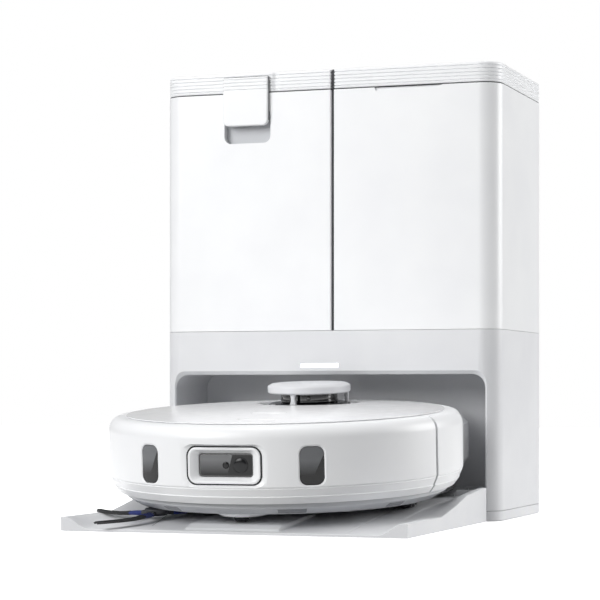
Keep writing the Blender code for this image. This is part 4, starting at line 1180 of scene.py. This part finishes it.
def turret():
    """Distance sensor: dished collar, black base, drum with lenses, cap on a flared post and three pins."""
    centre = (0, TURRET_BACK)
    dish = rounded_path([(0.0372, 0.0853, 0), (0.0487, 0.0853, 0.0002), (0.0487, 0.0890, 0.0006),
                         (0.0462, 0.0884, 0.002),
                         (0.0410, 0.0872, 0.001), (0.0400, 0.0880, 0.0004), (0.0372, 0.0880, 0)], 4)
    shape = loft([level(circle(r, 120, centre), z) for r, z in dish], along=True)
    finish(make("turret_collar", [shape], True), WHITE, "robot")
    base = rounded_path([(0, 0.0850, 0), (0.0395, 0.0850, 0), (0.0395, 0.0905, 0.0010),
                         (0.0355, 0.0921, 0.0008), (0, 0.0921, 0)])
    finish(make("turret_foot", [turned(base, 120, centre)], True), DRUM, "robot",
           ["turret_base"])
    low, high = corners("turret_drum", True)
    drum = rounded_path([(0, low[2], 0), (0.0272, low[2], 0.0003), (0.0276, low[2] + 0.001, 0.0003),
                         (0.0276, 0.0945, 0.0002),
                         (0.0270, 0.0949, 0.0002), (0.0270, 0.0991, 0.0002), (0.0276, 0.0995, 0.0002),
                         (0.0276, high[2], 0.0005), (0, high[2], 0)])
    lens = [facing_front(shifted(turned([(0, 0.0262), (0.0019, 0.0262), (0.0019, 0.0273), (0.0012, 0.0275),
                                         (0, 0.0275)], 32),
                                 z=-TURRET_BACK), side * 0.0085, 0.0970) for side in (-1, 1)]
    finish(make("sensor_drum", [turned(drum, 120, centre), *lens], True), DRUM, "turret_drum",
           ["turret_drum"])
    low, high = corners("turret_cap", True)
    rim, top = high[0], high[2]
    cap = rounded_path([(0, 0.1014, 0), (rim - 0.0015, 0.1014, 0.0006), (rim, 0.1026, 0.0010),
                        (rim, top - 0.0024, 0.0022),
                        (rim - 0.0036, top - 0.0004, 0.0016), (rim * 0.5, top - 0.0001, 0.01),
                        (0, top - 0.0001, 0)], 6)
    shapes = [turned(cap, 144, centre)]
    pill = [level(plan((-0.0050, TURRET_BACK - 0.0016), (0.0050, TURRET_BACK + 0.0016), (0.00159,) * 4,
                       inset), z)
            for inset, z in ((0.0, top - 0.0006), (0.0, top - 0.0002), (0.0003, top), (0.0010, top))]
    shapes.append(loft(pill))
    z = np.linspace(0.0918, 0.1030, 26)
    t = (z - z[0]) / (z[-1] - z[0])
    half = 0.0021 + 0.0038 * t ** 6 + 0.0016 * (1 - t) ** 5
    rings = [level(plan((-w, -0.0014), (w, 0.0014), (0.0012,) * 4, steps=4), height)
             for w, height in zip(half, z)]
    shapes.append(shifted(about_z(shifted(loft(rings), y=-0.0345), -7.0), y=TURRET_BACK))
    for angle in (16, 36, 140):
        a = math.radians(angle)
        pin = [(0, 0.0918), (0.0011, 0.0918), (0.0011, 0.1030), (0, 0.1030)]
        shapes.append(turned(pin, 16, (0.0365 * math.cos(a), TURRET_BACK + 0.0365 * math.sin(a))))
    finish(make("turret_hood", shapes, True), HOOD, "robot", ["turret_cap"])


def underside():
    """Pan, brush guard, mop module and the cliff sensors let into the pan's sloped rim."""
    dress("chassis_pan", PAN, 0.0006)
    dress("brush_guard", PAN, 0.0006)
    dress("mop_module", GREY, 0.0010)
    shapes = []
    section = [(0.1398, 0.0103), (0.1400, 0.0100), (0.1458, 0.0136), (0.1460, 0.0139), (0.1456, 0.0142)]
    for turn, half in ((21.5, 5.0), (61.5, 3.6), (-25.5, 3.4), (-61.5, 3.6)):
        shapes.append(sector(section, FRONT + turn - half, FRONT + turn + half, 16))
    finish(make("cliff_sensors", shapes, True), SMOKE, "robot")
    collar = rounded_path([(0.0196, 0.0060, 0.0006), (0.0206, 0.0056, 0.0006), (0.0232, 0.0072, 0.002),
                           (0.0250, 0.0102, 0.001),
                           (0.0250, 0.0118, 0), (0.0196, 0.0118, 0)])
    centre = corners("caster_fork", True)
    centre = ((centre[0][0] + centre[1][0]) / 2, (centre[0][1] + centre[1][1]) / 2)
    shape = loft([level(circle(r, 96, centre), z) for r, z in collar], along=True)
    finish(make("caster_collar", [shape], True), WHITE, "robot")


def wheels():
    """Drive wheels: a chevron-lugged tyre on a dished hub with ribs, and the arm that carries it."""
    for word in ("left", "right"):
        low, high = corners(f"tyre_{word}", True)
        centre = ((low[1] + high[1]) / 2, (low[2] + high[2]) / 2)
        radius, left, right = (high[2] - low[2]) / 2, low[0], high[0]
        across = np.linspace(-1, 1, 25)[:, None]
        around = np.linspace(0, 2 * np.pi, 288, endpoint=False)[None, :]
        lugs = smoothstep(-0.25, 0.25, np.cos(24 * around + 5.0 * np.abs(across)))
        crown_drop = 0.0012 * np.abs(across) ** 4
        r = radius - crown_drop - 0.0026 * (1 - lugs)
        x = (left + right) / 2 + across * (right - left) / 2 + 0 * around
        rings = np.stack([x, centre[0] + r * np.cos(around), centre[1] + r * np.sin(around)], -1)
        bore = 0.0250
        inner = [np.stack([np.full(288, side), centre[0] + bore * np.cos(around[0]),
                           centre[1] + bore * np.sin(around[0])], -1)
                 for side in (right, left)]
        tyre = loft(np.concatenate([rings, np.array(inner)]), along=True)
        finish(make(f"lugged_tyre_{word}", [tyre], True), RUBBER, f"wheel_{word}",
               [f"tyre_{word}"], sharp=40)
        half = (right - left) / 2 - 0.001
        hub = rounded_path([(0.0045, -half, 0), (0.0095, -half, 0.0005), (0.0105, -half + 0.004, 0.002),
                            (0.0205, -half + 0.004, 0.002), (0.0215, -half, 0.0005), (0.0246, -half, 0.0005),
                            (0.0246, half, 0.0005), (0.0215, half, 0.0005), (0.0205, half - 0.004, 0.002),
                            (0.0105, half - 0.004, 0.002), (0.0095, half, 0.0005), (0.0045, half, 0)], 3)
        shapes = [along_x(shifted(loft([level(circle(reach, 96), out) for reach, out in hub], along=True),
                                  z=(left + right) / 2), centre)]
        for i in range(5):
            rib = plan((0.0100, -0.0012), (0.0212, 0.0012), (0.0008,) * 4, steps=3)
            spoke = about_z(loft([level(rib, -half + 0.0008), level(rib, half - 0.0008)]), 72 * i)
            shapes.append(along_x(shifted(spoke, z=(left + right) / 2), centre))
        finish(make(f"ribbed_hub_{word}", shapes, True), GREY, f"wheel_{word}",
               [f"wheel_hub_{word}"])
        dress(f"wheel_arm_{word}", DARK, 0.0006)


def caster():
    """Caster: a pale dome with a slot, and its small black wheel with a rounded tread."""
    low, high = corners("caster_fork", True)
    centre = ((low[0] + high[0]) / 2, (low[1] + high[1]) / 2)
    wheel_low, wheel_high = corners("caster_wheel", True)
    axle = ((wheel_low[1] + wheel_high[1]) / 2, (wheel_low[2] + wheel_high[2]) / 2)
    a = np.radians(np.linspace(-80, 0, 14))
    dome = [(0.0186 * math.cos(v), 0.0118 + 0.0060 * math.sin(v)) for v in a]
    profile = rounded_path([(0, low[2], 0), *[(r, z, 0) for r, z in dome], (0.0188, 0.0240, 0.0006),
                            (0.0180, 0.0250, 0.0005),
                            (0, 0.0250, 0)])
    item = make("caster_dome", [turned(profile, 96, centre)], True)
    slot = plan((-0.0068, axle[0] - 0.0130), (0.0068, axle[0] + 0.0127), (0.0025,) * 4)
    carve(item, [loft([level(slot, 0.0), level(slot, 0.0231)])], True)
    finish(item, WHITE, "caster_fork", ["caster_fork"], edge=0.0005)
    radius = (wheel_high[2] - wheel_low[2]) / 2
    tread = rounded_path([(0, -0.0058, 0), (0.0050, -0.0058, 0.0005), (0.0058, -0.0048, 0.0004),
                          (0.0080, -0.0048, 0.0004),
                          (0.0088, -0.0056, 0.0006), (radius, -0.0040, 0.0022), (radius, 0.0040, 0.0022),
                          (0.0088, 0.0056, 0.0006), (0.0080, 0.0048, 0.0004), (0.0058, 0.0048, 0.0004),
                          (0.0050, 0.0058, 0.0005), (0, 0.0058, 0)], 4)
    axle_pin = [(0, -0.0095), (0.0012, -0.0095), (0.0012, 0.0095), (0, 0.0095)]
    shapes = [along_x(turned(tread, 72), axle), along_x(turned(axle_pin, 20), axle)]
    finish(make("caster_roller", shapes, True), RUBBER, "caster_wheel", ["caster_wheel"])


def main_brush():
    """Roller of soft rubber: a core with six fins that sweep to the middle in a V, as one skin."""
    low, high = corners("main_brush", True)
    hinge = JOINTS["main_brush_spin"]["pos_m"]
    centre = (np.array(hinge) - ROBOT_ORIGIN) @ ROBOT_AXES.T
    half, fins = 0.0745, 6
    around = np.linspace(0, 2 * np.pi, 300, endpoint=False)[None, :]
    x = np.linspace(-half, half, 90)[:, None]
    twist = 5.5 * np.abs(x) / half * 0.5
    phase = (around + twist) * fins / (2 * np.pi)
    offset = np.abs(phase - np.round(phase)) * 2 * np.pi / fins
    fin = smoothstep(0.10, 0.045, offset)
    r = 0.0118 + 0.0049 * fin * smoothstep(half, 0.0725, np.abs(x))
    rings = np.stack([x + 0 * around, centre[1] + r * np.cos(around), centre[2] + r * np.sin(around)], -1)
    ends = rounded_path([(0, low[0], 0), (0.006, low[0], 0.0004), (0.006, -0.0746, 0),
                         (0.0117, -0.0746, 0.0002),
                         (0.0117, 0.0746, 0.0002), (0.006, 0.0746, 0), (0.006, high[0], 0.0004),
                         (0, high[0], 0)], 3)
    shapes = [loft(rings), along_x(turned(ends, 48), (centre[1], centre[2]))]
    finish(make("rubber_roller", shapes, True), RUBBER, "main_brush", ["main_brush"],
           sharp=45)


SIDE_BRUSH_ARMS = ((182.0, 0.028, 0.0690), (266.0, 0.027, 0.0690), (40.0, 0.012, 0.0735))


def bristles(rng, hub, heading, bow, start, end, count):
    """Bristles of one tuft, from one distance to another along a drooping, bending line.

    The line leaves the hub at a heading, drops from 3 mm to the floor as a smoothstep and trails to one side
    with the square of the distance. Each bristle keeps its own place across the tuft and its own bend.
    """
    rings, sides = 12, 4
    share = np.linspace(0, 1, rings)[None, :, None]
    reach = start + (end * (1 - 0.06 * rng.random((count, 1, 1))) - start) * share
    root, tip = 0.014, 0.072
    t = (reach - root) / (tip - root)
    place = rng.random((count, 2)) * [2 * np.pi, 1.0]
    across = (np.sqrt(place[:, 1]) * np.cos(place[:, 0]))[:, None, None]
    above = (np.sqrt(place[:, 1]) * np.sin(place[:, 0]))[:, None, None]
    width = 0.0036 + 0.0016 * t - 0.0022 * np.clip(t, 0, 1) ** 4
    height = 0.0020 - 0.0007 * smoothstep(0.0, 0.40, t)
    bend = bow * t ** 2 + 0.0008 * rng.standard_normal((count, 1, 1)) * t ** 2
    middle = 0.0017 + 0.0011 * (1 - smoothstep(0.10, 0.45, t))
    a = np.linspace(0, 2 * np.pi, sides, endpoint=False)[None, None, :]
    taper = 0.00050 * (1 - 0.45 * share)
    side = across * width - bend + taper * np.cos(a)
    z = middle + above * height + taper * np.sin(a)
    x, y = reach + 0 * a, side
    c, s = math.cos(math.radians(heading)), math.sin(math.radians(heading))
    points = np.stack([hub[0] + x * c - y * s, hub[1] + x * s + y * c, np.maximum(z, 0.0002)], -1)
    one = quads(rings, sides, around=True) + [[3, 2, 1, 0], [rings * sides - 4 + k for k in range(4)]]
    faces = np.array(one)[None] + (np.arange(count) * rings * sides)[:, None, None]
    return points.reshape(-1, 3), faces.reshape(-1, 4).tolist()


def side_brush():
    """Three-armed side brush: moulded hub and arms, a blue binding on each tuft and black bristles."""
    rng = np.random.default_rng(7)
    hinge = (np.array(JOINTS["side_brush_spin"]["pos_m"]) - ROBOT_ORIGIN) @ ROBOT_AXES.T
    hub = hinge[:2]
    profile = rounded_path([(0, 0.0010, 0), (0.0085, 0.0010, 0.001), (0.0115, 0.0032, 0.001),
                            (0.0115, 0.0072, 0.0008),
                            (0.006, 0.0086, 0.0005), (0.003, 0.0087, 0), (0.003, 0.0158, 0.0004),
                            (0, 0.0158, 0)])
    shapes = [turned(profile, 72, hub)]
    blue, black = [], []
    for heading, bow, end in SIDE_BRUSH_ARMS:
        c, s = math.cos(math.radians(heading)), math.sin(math.radians(heading))
        path = np.array([[hub[0] + r * c, hub[1] + r * s, z]
                         for r, z in ((0.006, 0.0042), (0.010, 0.0036), (0.0142, 0.0032))])
        section = plan((-0.0040, -0.0021), (0.0040, 0.0021), (0.0012,) * 4, steps=4)[::-1]
        shapes.append(sweep(path, section))
        blue.append(bristles(rng, hub, heading, bow, 0.0135, 0.0295, 220))
        black.append(bristles(rng, hub, heading, bow, 0.0270, end, 420))
    finish(make("side_brush_hub", shapes, True), DARK, "side_brush", ["side_brush"])
    finish(make("side_brush_binding", blue, True), BLUE, "side_brush", sharp=80)
    finish(make("side_brush_bristles", black, True), BRISTLE, "side_brush", sharp=80)


def mops():
    """Mop carrier, its two plates and their loop-pile pads."""
    dress("mop_carrier", DARK, 0.0006)
    for word in ("left", "right"):
        low, high = corners(f"mop_plate_{word}", True)
        centre = ((low[0] + high[0]) / 2, (low[1] + high[1]) / 2)
        plate = rounded_path([(0, 0.0074, 0), (0.058, 0.0074, 0.0008), (0.058, 0.0110, 0.0010),
                              (0.054, 0.0110, 0.0004),
                              (0.0535, 0.0100, 0.0004), (0.012, 0.0100, 0.001), (0.0100, 0.0112, 0.001),
                              (0.0052, 0.0118, 0.0004),
                              (0.0050, 0.0200, 0.0004), (0, 0.0200, 0)])
        finish(make(f"mop_disc_{word}", [turned(plate, 144, centre)], True), DARK, f"mop_{word}",
               [f"mop_plate_{word}"])
        rings, steps = 60, 220
        s = np.linspace(0, 1, rings)[:, None]
        angle = np.linspace(0, 2 * np.pi, steps, endpoint=False)[None, :]
        radius = 0.0004 + 0.0612 * s
        loops = np.sin(radius / 0.00035) * np.sin(angle * 110 + 6 * np.sin(radius * 500)) + 0 * angle
        under = 0.0014 + 0.0022 * s ** 14 - 0.00028 * loops * smoothstep(0.02, 0.2, s)
        over = 0.0069 - 0.0022 * s ** 14 + 0 * angle
        edge = radius + 0.0003 * np.sin(angle * 140)
        shell = [np.stack([centre[0] + edge * np.cos(angle), centre[1] + edge * np.sin(angle), z], -1)
                 for z in (under, over)]
        pad = finish(make(f"mop_cloth_{word}", [loft(np.concatenate([shell[0], shell[1][::-1]]))], True),
                     PILE,
                     f"mop_{word}", [f"mop_pad_{word}"], sharp=80)


def inner_parts():
    """Dust bin, battery, board and fan, which show only when the deck is lifted."""
    dress("dust_bin", DARK, 0.0010)
    dress("battery", DARK, 0.0015)
    dress("main_board", BOARD, 0.0002)
    dress("vacuum_fan", DARK, 0.0012)


def robot():
    """Every piece of the robot."""
    bumper()
    gap_seals()
    camera_module()
    windows()
    rear_shell()
    top_cover()
    turret()
    underside()
    wheels()
    caster()
    main_brush()
    side_brush()
    mops()
    inner_parts()


# Studio.

def camera():
    """Long lens from the front right, low down, held level with its picture shifted up."""
    data = bpy.data.cameras.new("camera")
    data.sensor_width = 36.0
    data.lens = 131.24
    data.shift_y = 0.1605
    data.clip_end = 50.0
    item = bpy.data.objects.new("camera", data)
    item.location = (0.68941, -2.02618, 0.11977)
    item.rotation_euler = (math.radians(90), 0, math.radians(19.49))
    bpy.context.scene.collection.objects.link(item)
    bpy.context.scene.camera = item


def soft_light(name, place, target, size, power):
    """A square soft light that faces a point."""
    data = bpy.data.lights.new(name, "AREA")
    data.size = size
    data.energy = power
    item = bpy.data.objects.new(name, data)
    ahead = np.subtract(target, place)
    ahead /= np.linalg.norm(ahead)
    side = np.cross(ahead, [0, 0, 1.0])
    side /= np.linalg.norm(side)
    turn = np.stack([side, np.cross(side, ahead), -ahead], -1)
    item.rotation_euler = mathutils.Matrix(turn.tolist()).to_euler()
    item.location = place
    bpy.context.scene.collection.objects.link(item)


def studio():
    """Pale floor that throws no light back up, white surround and three soft lights."""
    scene = bpy.context.scene
    scene.view_settings.view_transform = "Standard"
    middle = (0.0, -0.05, 0.2)
    soft_light("key", (-1.47, -2.41, 1.32), middle, 1.6, 62)
    soft_light("side", (2.56, 1.31, 0.98), middle, 1.6, 60)
    soft_light("top", (-0.3, -0.4, 2.6), middle, 1.2, 18)
    world = bpy.data.worlds.new("surround")
    scene.world = world
    world.use_nodes = True
    tree = world.node_tree
    shown = add_node(tree, "ShaderNodeLightPath").outputs["Is Camera Ray"]
    strength = spread(tree, shown, 0.30, 1.0)
    surround = tree.nodes["Background"]
    surround.inputs["Color"].default_value = (1, 1, 1, 1)
    tree.links.new(strength, surround.inputs["Strength"])
    reach = 6.0
    floor = make("floor", [slab(*[np.array([[[x, y, z] for x in (-reach, reach)] for y in (-reach, reach)])
                                  for z in
                                  (-0.0006, -0.01)])])
    material, tree, shader, place = blank("white_paper_floor", IOR=1.45, Emission_Strength=1.0)
    fibre = add_node(tree, "ShaderNodeTexNoise", {"Vector": place}, {"Scale": per_metre(30), "Detail": 4.0})
    tree.links.new(between(tree, fibre.outputs["Fac"], "FCFCFC", "FFFFFF"), shader.inputs["Base Color"])
    shader.inputs["Emission Color"].default_value = (1, 1, 1, 1)
    tree.links.new(spread(tree, fibre.outputs["Fac"], 0.8, 0.9), shader.inputs["Roughness"])
    floor.data.materials.append(material)
    floor.visible_diffuse = False


station()
robot()
camera()
studio()
